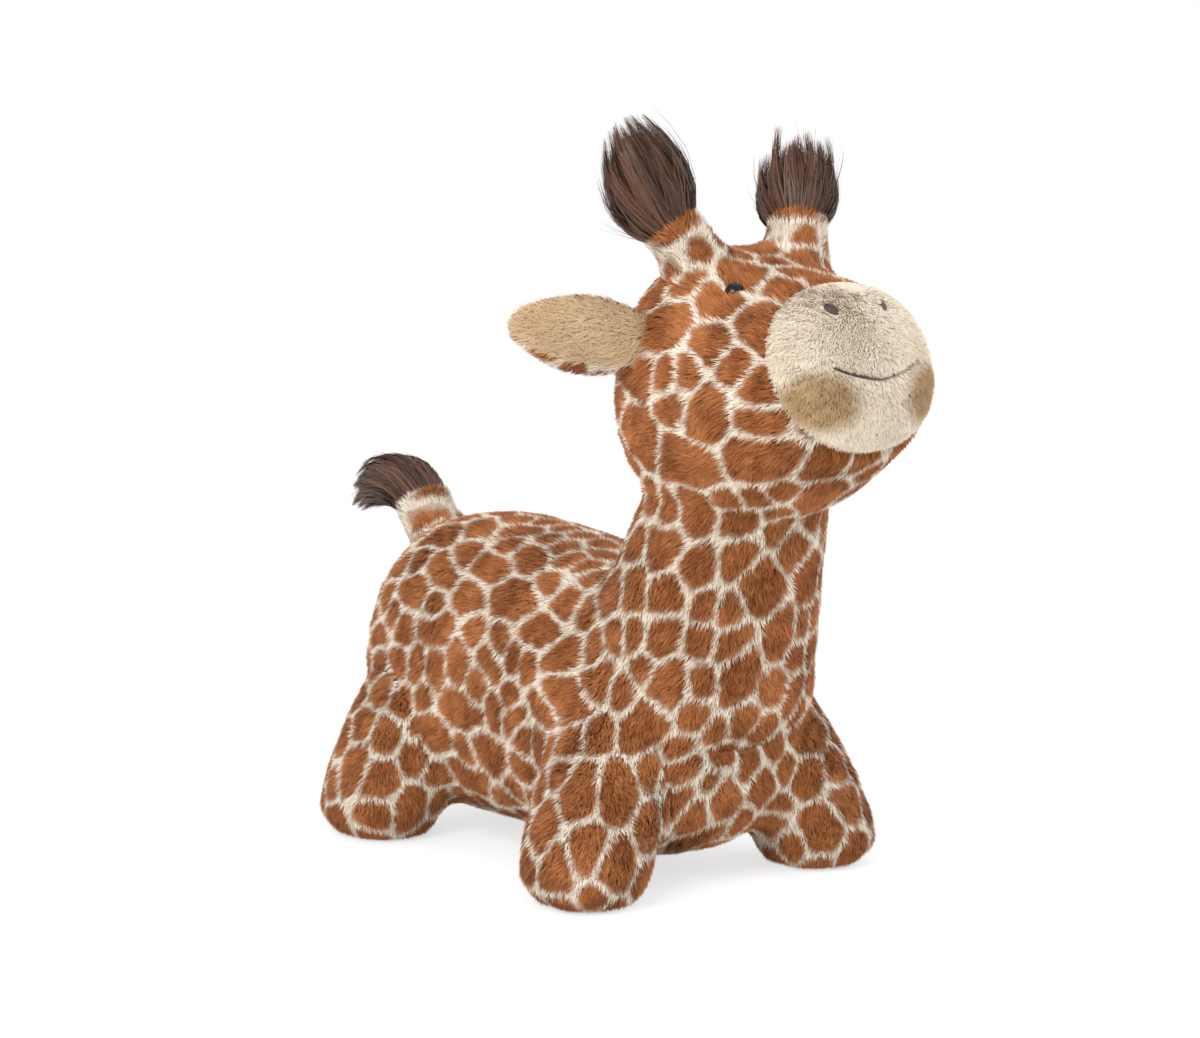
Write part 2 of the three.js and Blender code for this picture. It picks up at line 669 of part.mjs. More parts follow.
// Ears: two leaves of plush sewn edge to edge, the lining to the front
const EAR_STATIONS = [
  [-1, 0.6, 0.15],
  [-0.7, 0.66, 0.7],
  [0, 0.72, 1],
];
const EAR_LEAF = [
  [0.26, 0.92, 1],
  [0.53, 1, 1],
  [0.79, 0.85, 0.84],
  [0.95, 0.5, 0.6],
  [1, 0.14, 0.3],
];
const ear = {
  power: 2.1,
  sections: [
    ...EAR_STATIONS.map(([share, tall, thick]) =>
      flat(share * EAR_ROOT_RADIUS, EAR_HALF_HEIGHT * tall, EAR_ROOT_RADIUS * thick)),
    ...EAR_LEAF.map(([share, tall, thick]) =>
      flat(share * EAR_LENGTH, EAR_HALF_HEIGHT * tall, EAR_HALF_THICKNESS * thick)),
  ],
};
const EAR_RINGS = 10;
const EAR_SIDES = 16;
for (const [name, side] of SIDE_NAMES) {
  const place = new THREE.Group();
  place.applyMatrix4(earFrame(side));
  group.add(place);
  const leaf = solid(skin(ear, EAR_RINGS, EAR_SIDES));
  const half = (front) => {
    const reach = 2 * EAR_LENGTH;
    return solid(box(reach, reach, 2 * reach, 0, front * (reach / 2 - GAP / 2), 0));
  };
  add("ear_lining_" + name, geometryOf(cut(leaf, half(-1))), "cream_plush", place);
  add("ear_back_" + name, geometryOf(cut(leaf, half(1))), "patterned_plush", place);
}

// A stuffed stem: a ball at its root, then a sleeve, as [height, radius] sections
const ROOT_STATIONS = [-1, -0.88, -0.5, 0];
const stemSections = (radius, length, wall) =>
  ROOT_STATIONS.map((share) => [share * (radius - wall), share])
    .map(([z, share]) => [z, Math.max((radius - wall) * Math.sqrt(1 - share ** 2), 1)])
    .concat([[length / 2, radius - wall], [length, radius - wall]]);
const STEM_RINGS = 8;
const STEM_SIDES = 12;

// Horns
const HORN_TUFT_STATIONS = [
  [0, 0.72],
  [0.25, 1],
  [0.52, 0.98],
  [0.84, 0.6],
  [1, 0.15],
];
const round = (pairs) => ({ sections: pairs.map(([z, r]) => flat(z, r)) });
const sleeveOf = (radius, length) => {
  const whole = solid(skin(round(stemSections(radius, length, 0)), STEM_RINGS, STEM_SIDES));
  const core = solid(skin(round(stemSections(radius, length + PLUSH, PLUSH)), STEM_RINGS, STEM_SIDES));
  return geometryOf(cut(whole, core));
};
const coreOf = (radius, length) =>
  skin(round(stemSections(radius, length, PLUSH + GAP)), STEM_RINGS, STEM_SIDES);
for (const [name, side] of SIDE_NAMES) {
  const place = new THREE.Group();
  place.applyMatrix4(hornFrame(side));
  group.add(place);
  add("horn_stem_" + name, sleeveOf(HORN_RADIUS, HORN_STEM), "patterned_plush", place);
  add("horn_stuffing_" + name, coreOf(HORN_RADIUS, HORN_STEM), "stuffing", place);
  const tuft = round(
    HORN_TUFT_STATIONS.map(([share, full]) =>
      [mix(HORN_STEM + GAP, HORN_LENGTH, share), HORN_TUFT_RADIUS * full]),
  );
  add("horn_tuft_" + name, skin(tuft, STEM_RINGS, STEM_SIDES), "hair", place);
}

// Tail
const tailPlace = new THREE.Group();
tailPlace.position.copy(tailPivot);
group.add(tailPlace);
const stemPlace = new THREE.Group();
stemPlace.rotation.x = -radians(TAIL_TILT);
tailPlace.add(stemPlace);
add("tail_stem", sleeveOf(TAIL_RADIUS, TAIL_STEM), "patterned_plush", stemPlace);
add("tail_stuffing", coreOf(TAIL_RADIUS, TAIL_STEM), "stuffing", stemPlace);

// The tuft's centre line starts at the stem's end and curls over: [share of its reach, of its
// drop, further tilt, half width, depth above, depth below]
const TAIL_TUFT_STATIONS = [
  [0, 0, 0, 0.88, 0.88, 0.88],
  [0.2, -2.2, 28, 1.08, 0.92, 0.96],
  [0.52, -2.6, 53, 0.98, 0.86, 0.96],
  [0.79, -1.3, 65, 0.72, 0.6, 0.72],
  [1, 1, 76, 0.2, 0.2, 0.2],
];
const tuftStart = [
  (TAIL_STEM + GAP) * Math.sin(radians(TAIL_TILT)),
  (TAIL_STEM + GAP) * Math.cos(radians(TAIL_TILT)),
];
const tailTuft = {
  sections: TAIL_TUFT_STATIONS.map(([out, drop, tilt, half, above, below]) => [
    0,
    tuftStart[0] + TAIL_TUFT * out,
    tuftStart[1] - TAIL_DROP * drop,
    -TAIL_TILT - tilt,
    TAIL_TUFT_RADIUS * half,
    TAIL_TUFT_RADIUS * above,
    TAIL_TUFT_RADIUS * below,
  ]),
};
add("tail_tuft", skin(tailTuft, STEM_RINGS + 4, STEM_SIDES), "hair", tailPlace);

// Zip tapes, teeth and stops
const TEETH_RUN = ZIP_LENGTH - 2 * ZIP_END;
const zipPiece = (geometry) => geometry.translate(0, ZIP_MIDDLE, ZIP_LEVEL);
const teethCount = Math.floor(TEETH_RUN / TOOTH_PITCH);
function teethRow(side) {
  const start = -TEETH_RUN / 2;
  const offset = side > 0 ? TOOTH_PITCH / 4 : (3 * TOOTH_PITCH) / 4;
  const row = new THREE.Shape();
  row.moveTo(side * (BEAD_IN + BEAD_WIDTH), start);
  row.lineTo(side * BEAD_IN, start);
  for (let i = 0; i < teethCount; i++) {
    const middle = start + offset + i * TOOTH_PITCH;
    const low = middle - TOOTH_LENGTH / 2;
    const high = middle + TOOTH_LENGTH / 2;
    row.lineTo(side * BEAD_IN, low);
    row.lineTo((side * ROW_GAP) / 2, low);
    row.lineTo((side * ROW_GAP) / 2, high);
    row.lineTo(side * BEAD_IN, high);
  }
  row.lineTo(side * BEAD_IN, -start);
  row.lineTo(side * (BEAD_IN + BEAD_WIDTH), -start);
  const made = new THREE.ExtrudeGeometry(row, { depth: TOOTH_HEIGHT, bevelEnabled: false });
  return zipPiece(made.translate(0, 0, -TOOTH_HEIGHT / 2));
}
for (const [name, side] of SIDE_NAMES) {
  const tape = box(
    TAPE_WIDTH, ZIP_LENGTH, TAPE_THICKNESS, side * (TAPE_IN + TAPE_WIDTH / 2), 0, 0,
  );
  add("zip_tape_" + name, zipPiece(tape), "zip_tape");
  add("zip_teeth_" + name, teethRow(side), "zip_teeth");
}
for (const [name, end] of [["front", -1], ["rear", 1]]) {
  const stop = box(
    2 * (BEAD_IN + BEAD_WIDTH), STOP_LENGTH, TOOTH_HEIGHT,
    0, end * (TEETH_RUN / 2 + GAP + STOP_LENGTH / 2), 0,
  );
  add("zip_stop_" + name, zipPiece(stop), "zip_metal");
}

// Slider: two plates round the rows, on a post that runs between them, with lugs for the pull
const SLIDER_HALF = TAPE_IN + 1;
const SLIDER_AT = -TEETH_RUN / 2 + SLIDER_LENGTH / 2 + GAP;
const plateLevel = TOOTH_HEIGHT / 2 + GAP + SLIDER_PLATE / 2;
const pinLevel = -plateLevel - SLIDER_PLATE / 2 - LUG_DROP;
const lugAt = PULL_WIDTH / 2 + GAP + LUG_THICKNESS / 2;
const plate = (level) =>
  solid(box(2 * SLIDER_HALF, SLIDER_LENGTH, SLIDER_PLATE, 0, 0, level));
const lug = (side) => {
  const top = pinLevel + LUG_DROP + SLIDER_PLATE / 2;
  const bottom = pinLevel - 2 * PIN_RADIUS;
  return solid(
    box(LUG_THICKNESS, 4 * PIN_RADIUS, top - bottom, side * lugAt, 0, (top + bottom) / 2),
  );
};
const pin = new THREE.CylinderGeometry(PIN_RADIUS, PIN_RADIUS, 2 * lugAt, CURVE_STEPS);
const slider = join(
  plate(plateLevel),
  plate(-plateLevel),
  solid(box(POST_WIDTH, SLIDER_LENGTH / 4, 2 * plateLevel, 0, -SLIDER_LENGTH / 4, 0)),
  lug(1),
  lug(-1),
  solid(pin.rotateZ(Math.PI / 2).translate(0, 0, pinLevel)),
);
const sliderPlace = (geometry) => zipPiece(geometry.translate(0, SLIDER_AT, 0));
add("zip_slider", sliderPlace(geometryOf(slider)), "zip_metal");

// Pull: a tab that hangs from the slider's pin
const EYE_ROUND = PIN_RADIUS + GAP;
const tab = new THREE.Shape();
tab.absarc(0, 0, PULL_THICKNESS / 2 + EYE_ROUND, 0, Math.PI);
tab.lineTo(-PULL_THICKNESS / 2, -EYE_ROUND - PULL_THICKNESS);
tab.lineTo(-PULL_THICKNESS / 2, -PULL_LENGTH);
tab.lineTo(PULL_THICKNESS / 2, -PULL_LENGTH);
tab.lineTo(PULL_THICKNESS / 2, -EYE_ROUND - PULL_THICKNESS);
tab.holes.push(new THREE.Path().absarc(0, 0, EYE_ROUND, 0, 2 * Math.PI, true));
const pull = new THREE.ExtrudeGeometry(tab, {
  depth: PULL_WIDTH,
  bevelEnabled: false,
  curveSegments: 8,
});
// The outline was drawn in Y and Z, so it is stood up across X
pull.applyMatrix4(
  new THREE.Matrix4().makeBasis(
    new THREE.Vector3(0, 1, 0),
    new THREE.Vector3(0, 0, 1),
    new THREE.Vector3(1, 0, 0),
  ),
);
add("zip_pull", sliderPlace(pull.translate(-PULL_WIDTH / 2, 0, pinLevel)), "zip_metal");

export default group;
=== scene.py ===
"""Looks of the plush giraffe hopper: printed pile on an inflated, zipped cover.

The frame holds the hard sizes in metres. Shapes here are worked out in millimetres, from the same
driving sizes as the solids, and turned to metres where a mesh is made.
"""
import json
import bpy
import numpy as np
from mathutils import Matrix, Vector

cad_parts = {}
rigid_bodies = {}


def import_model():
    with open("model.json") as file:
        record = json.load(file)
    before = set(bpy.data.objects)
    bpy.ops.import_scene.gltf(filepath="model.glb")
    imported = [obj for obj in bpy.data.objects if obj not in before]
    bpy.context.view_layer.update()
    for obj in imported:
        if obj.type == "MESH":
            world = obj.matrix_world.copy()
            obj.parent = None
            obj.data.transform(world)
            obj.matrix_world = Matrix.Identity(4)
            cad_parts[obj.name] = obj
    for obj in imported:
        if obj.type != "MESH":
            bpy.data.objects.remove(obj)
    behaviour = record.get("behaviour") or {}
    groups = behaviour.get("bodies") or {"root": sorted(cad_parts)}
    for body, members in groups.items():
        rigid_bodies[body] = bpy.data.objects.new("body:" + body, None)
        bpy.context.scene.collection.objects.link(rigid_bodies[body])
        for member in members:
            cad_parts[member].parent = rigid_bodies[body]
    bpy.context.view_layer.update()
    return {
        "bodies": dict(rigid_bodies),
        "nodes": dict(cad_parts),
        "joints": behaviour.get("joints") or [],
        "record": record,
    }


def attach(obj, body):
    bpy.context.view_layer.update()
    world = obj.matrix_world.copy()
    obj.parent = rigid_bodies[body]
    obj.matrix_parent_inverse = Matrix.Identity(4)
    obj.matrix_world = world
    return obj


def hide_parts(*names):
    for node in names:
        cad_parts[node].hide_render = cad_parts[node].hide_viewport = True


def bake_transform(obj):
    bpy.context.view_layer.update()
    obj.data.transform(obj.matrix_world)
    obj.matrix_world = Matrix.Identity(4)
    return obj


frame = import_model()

MM = 0.001
RNG = np.random.default_rng(20)
SIDES = (("left", 1), ("right", -1))

# Camera at the photograph's angle, for a frame of 1200 by 1038
CAMERA_AZIMUTH = -38.0
CAMERA_ELEVATION = 7.5
CAMERA_DISTANCE = 2.7
CAMERA_TARGET = (-0.010, -0.018, 0.273)
CAMERA_LENS = 102.5
SENSOR = 36.0

# Driving sizes of the forms in mm, as the solids have them. Torso: a barrel that lies along Y
TORSO_REAR, TORSO_FRONT = 226, -179
TORSO_MIDDLE = 128  # height of its centre line
TORSO_HALF_WIDTH = 104
RUMP_RISE, SHOULDER_RISE, BELLY_DROP = 132, 106, 110  # from its centre line

# Neck: a column that leans forward
NECK_BASE_Y, NECK_TOP_Y = -110, -168
NECK_BASE_HEIGHT, NECK_TOP_HEIGHT = 128, 298
NECK_BASE_HALF, NECK_TOP_HALF = 98, 73
NECK_BASE_FRONT, NECK_TOP_FRONT = 82, 66
NECK_BASE_BACK, NECK_TOP_BACK = 80, 61

# Head: a rounded body that runs forward and lifts towards the muzzle
HEAD_BACK, MUZZLE_TIP = -98, -327
HEAD_MIDDLE = 384  # height of its centre line at the back
HEAD_HALF_WIDTH, HEAD_CROWN, HEAD_JAW = 95, 106, 104
MUZZLE_RISE, MUZZLE_LIFT = 40, 21  # its tip over the back of the head, and degrees that it looks up
MUZZLE_SEAM = 0.65  # share of the head's sections
LIFT_FROM, LIFT_OVER = 0.15, 0.69  # share of the length where it turns up, and over which it does

# Legs, as [hip across, hip along, foot across, foot along]
FRONT_LEG, REAR_LEG = (60, -114, 114, -133), (50, 150, 98, 162)
HIP_HEIGHT = 158
LEG_HALF_WIDTH, FRONT_LEG_DEPTH, REAR_LEG_DEPTH = 47, 51, 53
LEG_STRAIGHT = 0.8  # share of the way down from which a leg drops straight

# Places on the forms, as [share of the sections, degrees round them]
EAR_AT, HORN_AT, TAIL_AT = (0.37, 20), (0.415, 62), (0.195, 90)
EYE_AT, NOSTRIL_AT = (0.539, 55.5), (0.85, 60)

# Roots in mm, and leans in degrees, of the parts that bend
EAR_ROOT, ROOT_SINK = 8.5, 5.0
EAR_SWEEP, EAR_LIFT = 33, 8
HORN_RADIUS, HORN_STEM = 23.0, 15.0  # its sleeve is 1 mm wider than the solid's
HORN_SEAT = 17  # its pivot over the head's skin
HORN_BACK, HORN_OUT = 28, 25
TAIL_RADIUS, TAIL_STEM, TAIL_TILT = 24.0, 28.0, 37
TAIL_SLEEVE = TAIL_RADIUS - 0.5
STEM_ROOT = 44.0  # how far a stem runs down inside the cover that it grows from
HAIR_SINK = 2  # how far a stem's hair starts below its top

# Pile
PILE_DEPTH = 5.0  # from the solid's skin down to the backing
PILE_LENGTH = 9.5
STRANDS_PER_MM2 = 0.78
STRAND_WIDTH = 0.82
STRAND_BEND = 0.48  # share of a strand below its bend
LOWER_RISE, LOWER_ALONG, UPPER_RISE = 0.95, 0.45, 0.42  # how steeply it stands below and above
CUT_AWAY = 0.05  # share of its length under which a strand is left out
FLOOR_CLEARANCE, BACKING_CLEARANCE = 0.6, 2.5  # of the pile, and of its backing, over the floor
CLUMP = 6.0  # side of the squares whose strands draw together
CLUMP_PULL = 0.3  # share of the way there that a tip goes
HAIR_WIDTH = 0.44  # half a hair's width at its root
HAIR_TAPER = np.array([1.0, 1.0, 0.95, 0.8, 0.55, 0.12])  # of its width, from root to end
STRAY_HAIRS = 0.08  # share of the hairs that leave their clump
STRAY, TIDY = 0.16, 0.055  # how far such a hair and any other ends from its clump's middle

# Print
LINE_HALF = 1.5  # cream between a patch's edge and the middle of the line
REACH = 2.3  # how far a patch may run past its own half sizes
LEAST_APART = 19.0  # between the middles of patches
LEAST_ROOM = 0.9  # distance to an earlier patch, as a share of its two half sizes together
MOST_BARE = 1.8  # half sizes from any patch at which a round one comes in
CORNER = 0.16  # how softly a patch's corners round
UNPRINTED = -20.0  # depth where there is no patch
POINTS_AT_ONCE = 20000

# How wide the covers round into each other
SHOULDER, THIGH, NAPE, HORN_FOOT, TAIL_FOOT = 44.0, 26.0, 15.0, 24.0, 30.0

# Settling onto the rounded forms
STEP = 0.5  # of the gradients
LEAST_SLOPE = 0.35  # that a distance is divided by
LEAST_ROUNDING = 0.5
ALONGSIDE = 0.7  # 1 less the cosine between two skins, over which their rounding grows to full
FOLLOWS, STAYS = 8, 22  # how deep inside a neighbour points still follow the union, and stay put
MOST_MOVED = 14  # in one round
POINT_SPIKE, NORMAL_SPIKE = 1.2, 0.3  # past these, a move or a normal is taken for a stray one
FAR = 1e3


# Colour

def colour(code, alpha=1.0):
    """An sRGB hex value as linear RGBA."""
    value = np.array([int(code[i:i + 2], 16) for i in (1, 3, 5)]) / 255
    linear = np.where(value <= 0.04045, value / 12.92, ((value + 0.055) / 1.055) ** 2.4)
    return (*linear.tolist(), alpha)


# Forms: the solids' sections, but for a leg's top, which is narrower inside the torso

LYING = -90.0


def mix(a, b, share):
    return a + (b - a) * share


def stations(rows):
    return np.array(rows, float).T


def torso_form():
    """Barrel along Y: [share of the length, of the half width, of the rise, of the drop]."""
    share, wide, rise, drop = stations([
        [0, 0.08, 0.06, 0.07], [0.012, 0.48, 0.46, 0.45], [0.07, 0.83, 0.85, 0.8],
        [0.21, 0.94, 1.05, 0.98], [0.41, 0.95, 1.09, 1], [0.61, 0.98, 1.045, 1],
        [0.78, 1.02, 0.95, 1], [0.9, 0.94, 0.75, 0.89], [0.99, 0.58, 0.48, 0.55],
        [1, 0.08, 0.08, 0.07],
    ])
    zero = 0 * share
    rows = [zero, mix(TORSO_REAR, TORSO_FRONT, share), zero + TORSO_MIDDLE, zero + LYING,
            TORSO_HALF_WIDTH * wide, mix(RUMP_RISE, SHOULDER_RISE, share) * rise,
            BELLY_DROP * drop]
    return 2.3, np.stack(rows, 1)


def neck_form():
    """Column that leans forward: [share of the way up, fullness]."""
    share, full = stations([[-0.28, 0.6], [0, 1], [0.35, 1.03], [0.7, 1.01], [1, 1], [1.25, 0.84]])
    zero = 0 * share
    rows = [zero, mix(NECK_BASE_Y, NECK_TOP_Y, share),
            mix(NECK_BASE_HEIGHT, NECK_TOP_HEIGHT, share), zero,
            mix(NECK_BASE_HALF, NECK_TOP_HALF, share) * full,
            mix(NECK_BASE_FRONT, NECK_TOP_FRONT, share) * full,
            mix(NECK_BASE_BACK, NECK_TOP_BACK, share) * full]
    return 2.2, np.stack(rows, 1)


def head_form():
    """Rounded body that lifts forward: [share of the length, of the half width, crown, jaw]."""
    share, wide, crown, jaw = stations([
        [0, 0.1, 0.09, 0.1], [0.0175, 0.51, 0.51, 0.48], [0.114, 0.82, 0.86, 0.85],
        [0.316, 0.99, 1, 1.02], [0.579, 1.02, 0.86, 0.94], [0.838, 0.84, 0.62, 0.69],
        [0.925, 0.69, 0.53, 0.56], [0.978, 0.45, 0.36, 0.37], [1, 0.08, 0.08, 0.08],
    ])
    lift = MUZZLE_LIFT * np.clip((share - LIFT_FROM) / LIFT_OVER, 0, 1)
    rows = [0 * share, mix(HEAD_BACK, MUZZLE_TIP, share), HEAD_MIDDLE + MUZZLE_RISE * share ** 2,
            LYING - lift, HEAD_HALF_WIDTH * wide, HEAD_CROWN * crown, HEAD_JAW * jaw]
    return 2.1, np.stack(rows, 1)


def leg_form(leg, depth, side):
    """Stub leg from the hip to the foot: [share of the way down, fullness]."""
    share, full = stations([
        [0, 0.78], [0.32, 0.98], [0.63, 1.02], [0.85, 0.98], [0.96, 0.78], [1, 0.52],
    ])
    hip_across, hip_along, foot_across, foot_along = leg
    down = np.minimum(share / LEG_STRAIGHT, 1)
    rows = [side * mix(hip_across, foot_across, down), mix(hip_along, foot_along, down),
            HIP_HEIGHT * (1 - share), 0 * share, LEG_HALF_WIDTH * full, depth * full, depth * full]
    return 2.2, np.stack(rows, 1)


def section(rows, share):
    """Catmull-Rom curve through the station rows, at shares from 0 to 1."""
    last = len(rows) - 1
    ends = np.vstack([2 * rows[0] - rows[1], rows, 2 * rows[-1] - rows[-2]])
    place = np.clip(share, 0, 1) * last
    i = np.minimum(place.astype(int), last - 1)
    t = (place - i)[..., None]
    a, b, c, d = ends[i], ends[i + 1], ends[i + 2], ends[i + 3]
    return 0.5 * (2 * b + (c - a) * t + (2 * a - 5 * b + 4 * c - d) * t ** 2
                  + (3 * b - a - 3 * c + d) * t ** 3)


def form_point(form, share, turn):
    """A form's skin: centre + half * cos^e across X + depth * sin^e up the tilted section, where
    e = 2 / power makes each section a superellipse."""
    power, rows = form
    share, turn = np.broadcast_arrays(np.asarray(share, float), np.radians(turn))
    row = section(rows, share)
    c, s = np.cos(turn), np.sin(turn)
    depth = np.where(s > 0, row[..., 5], row[..., 6]) * np.sign(s) * np.abs(s) ** (2 / power)
    wide = row[..., 4] * np.sign(c) * np.abs(c) ** (2 / power)
    tilt = np.radians(row[..., 3])
    return np.stack([row[..., 0] + wide, row[..., 1] - depth * np.cos(tilt),
                     row[..., 2] - depth * np.sin(tilt)], -1)


def form_distance(form, points, count=56):
    """How far points lie outside a form: the section whose plane holds the point is found, and
    the distance is (rho - 1) / rho of the reach from its centre, with rho the superellipse radius."""
    power, rows = form
    rows = section(rows, np.linspace(0, 1, count))
    tilt = np.radians(rows[:, 3])
    way = 1 if (rows[-1] - rows[0])[1:3] @ [np.sin(tilt[0]), -np.cos(tilt[0])] > 0 else -1
    ahead = way * ((points[:, 1, None] - rows[:, 1]) * np.sin(tilt)
                   - (points[:, 2, None] - rows[:, 2]) * np.cos(tilt))
    passed = (ahead > 0).sum(1)
    i = np.clip(passed - 1, 0, count - 2)
    n = np.arange(len(points))
    near, far = ahead[n, i], ahead[n, i + 1]
    t = np.clip(near / np.where(np.abs(near - far) < 1e-6, 1e-6, near - far), 0, 1)[:, None]
    row = rows[i] * (1 - t) + rows[i + 1] * t
    tilt = np.radians(row[:, 3])
    across = points[:, 0] - row[:, 0]
    up = -(points[:, 1] - row[:, 1]) * np.cos(tilt) - (points[:, 2] - row[:, 2]) * np.sin(tilt)
    depth = np.where(up > 0, row[:, 5], row[:, 6])
    rho = ((np.abs(across) / row[:, 4]) ** power + (np.abs(up) / depth) ** power) ** (1 / power)
    rho = np.maximum(rho, 1e-3)
    radial = (rho - 1) / rho * np.hypot(across, up)
    beyond = np.maximum(np.where(passed == 0, -ahead[:, 0], 0),
                        np.where(passed == count, ahead[:, -1], 0))
    return np.where(beyond > 0, np.hypot(np.maximum(radial, 0), beyond), radial)


def stem_distance(stem, points):
    """How far points lie outside a round stem: distance to its axis less the radius there."""
    start, end, low, high = stem
    way = end - start
    t = np.clip((points - start) @ way / (way @ way), 0, 1)
    return np.linalg.norm(points - start - t[:, None] * way, axis=1) - mix(low, high, t)


def distance(shape, points):
    return form_distance(shape, points) if len(shape) == 2 else stem_distance(shape, points)


def smooth_least(a, b, blend):
    """The lesser of two distances, rounded over where they differ by less than blend."""
    near = np.maximum(blend - np.abs(a - b), 0) / blend
    return np.minimum(a, b) - near ** 2 * blend / 4


# Waves

def waves(points, length, seed, count=5):
    """Smooth noise from -1 to 1: a mean of sines along random directions, about length mm long."""
    rng = np.random.default_rng(seed)
    ways = unit(rng.normal(size=(count, 3))) * (2 * np.pi / length)
    ways = ways * rng.uniform(0.6, 1.5, (count, 1))
    return np.sin(points @ ways.T + rng.uniform(0, 6.28, count)).mean(-1) * 1.6


def unit(v):
    return v / np.maximum(np.linalg.norm(v, axis=-1, keepdims=True), 1e-9)


def dot(a, b):
    return (a * b).sum(-1, keepdims=True)


def smooth(value):
    """0 below 0, 1 above 1, and 3 t^2 - 2 t^3 between."""
    t = np.clip(value, 0, 1)
    return t * t * (3 - 2 * t)


def union_field(points, own, others):
    """The smooth union of shapes at each point: its distance and its gradient by small steps.
    Each shape's distance is first divided by its own slope, so that all count in true mm. Skins
    that run alongside each other are not rounded, or else the union would swell there."""
    steps = np.vstack([np.zeros(3), np.eye(3) * STEP])
    union = None
    for shape, blend in [(own, 1.0), *others]:
        values = np.stack([distance(shape, points + step) for step in steps])
        slope = np.linalg.norm((values[1:] - values[0]) / STEP, axis=0)
        values = values / np.maximum(slope, LEAST_SLOPE)
        if union is None:
            union = values
            continue
        a, b = union[1:] - union[0], values[1:] - values[0]
        size = np.linalg.norm(a, axis=0) * np.linalg.norm(b, axis=0)
        turn = 1 - (a * b).sum(0) / np.maximum(size, 1e-9)
        rounding = np.maximum(blend * smooth(turn / ALONGSIDE), LEAST_ROUNDING)
        union = smooth_least(union, values, rounding)
    return union[0], ((union[1:] - union[0]) / STEP).T


def clearance(points, others):
    """How far points lie outside all their neighbours."""
    clear = np.full(len(points), FAR)
    for shape, _ in others:
        clear = np.minimum(clear, distance(shape, points))
    return clear


def settle(points, normals, own, others, rounds=3):
    """Moves points onto the smooth union of a shape and its neighbours, down the gradient. Points
    8 mm inside a neighbour move less and sink below the skin, and those 22 mm inside stay."""
    clear = clearance(points, others)
    reach = max((blend for _, blend in others), default=0) + 4
    near = np.flatnonzero((clear < reach) & (clear > -STAYS - 2))
    moved, turned = points.copy(), normals.copy()
    if len(near) == 0:
        return moved, turned, clear
    p = points[near]
    weight = smooth((clear[near] + STAYS) / (STAYS - FOLLOWS))
    sunk = 0.3 * np.maximum(-clear[near], 0)
    for _ in range(rounds):
        value, slope = union_field(p, own, others)
        size = np.maximum(np.linalg.norm(slope, axis=1), LEAST_SLOPE) ** 2
        down = np.clip(value + sunk, -MOST_MOVED, MOST_MOVED)
        p = p - (down * weight / size)[:, None] * slope
    _, slope = union_field(p, own, others)
    moved[near] = p
    turned[near] = unit(normals[near] * (1 - weight[:, None]) + unit(slope) * weight[:, None])
    return moved, turned, clear


# Meshes

def mesh_piece(name, points, faces, corners, material, body=None):
    """A mesh object from points in millimetres and faces of so many corners each."""
    mesh = bpy.data.meshes.new(name)
    mesh.vertices.add(len(points))
    mesh.vertices.foreach_set("co", (np.asarray(points) * MM).astype(np.float32).ravel())
    mesh.loops.add(len(faces) * corners)
    mesh.loops.foreach_set("vertex_index", np.asarray(faces, np.int32).ravel())
    mesh.polygons.add(len(faces))
    mesh.polygons.foreach_set("loop_start", np.arange(len(faces), dtype=np.int32) * corners)
    mesh.polygons.foreach_set("use_smooth", np.ones(len(faces), bool))
    mesh.update(calc_edges=True)
    mesh.materials.append(material)
    piece = bpy.data.objects.new(name, mesh)
    bpy.context.scene.collection.objects.link(piece)
    if body:
        carry(piece, body)
    return piece


def carry(piece, body):
    """Rides a piece on a body where body is a name. Where body is (a, b, start, end) in mm, it only
    bakes the piece's transform, and the piece rides on no body.
    """
    if isinstance(body, str):
        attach(piece, body)
    else:
        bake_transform(piece)


def attribute(piece, name, values):
    """Puts one vector on each point."""
    made = piece.data.attributes.new(name, "FLOAT_VECTOR", "POINT")
    made.data.foreach_set("vector", np.asarray(values, np.float32).ravel())


def bake_map(piece, uv):
    """The piece's own UV map, from one place for each face corner."""
    layer = piece.data.uv_layers.new(name="OFBake")
    layer.data.foreach_set("uv", np.asarray(uv, np.float32).ravel())


def calm(values, limit):
    """A closed grid of vectors, where those that stand out from the median of the 5 by 7 round
    them by more than the limit take that median."""
    last = len(values) - 1
    window = [np.roll(values[np.clip(np.arange(last + 1) + i, 0, last)], j, 1)
              for i in range(-2, 3) for j in range(-3, 4)]
    middle = np.median(window, axis=0)
    off = np.linalg.norm(values - middle, axis=-1, keepdims=True) > limit
    return np.where(off, middle, values)


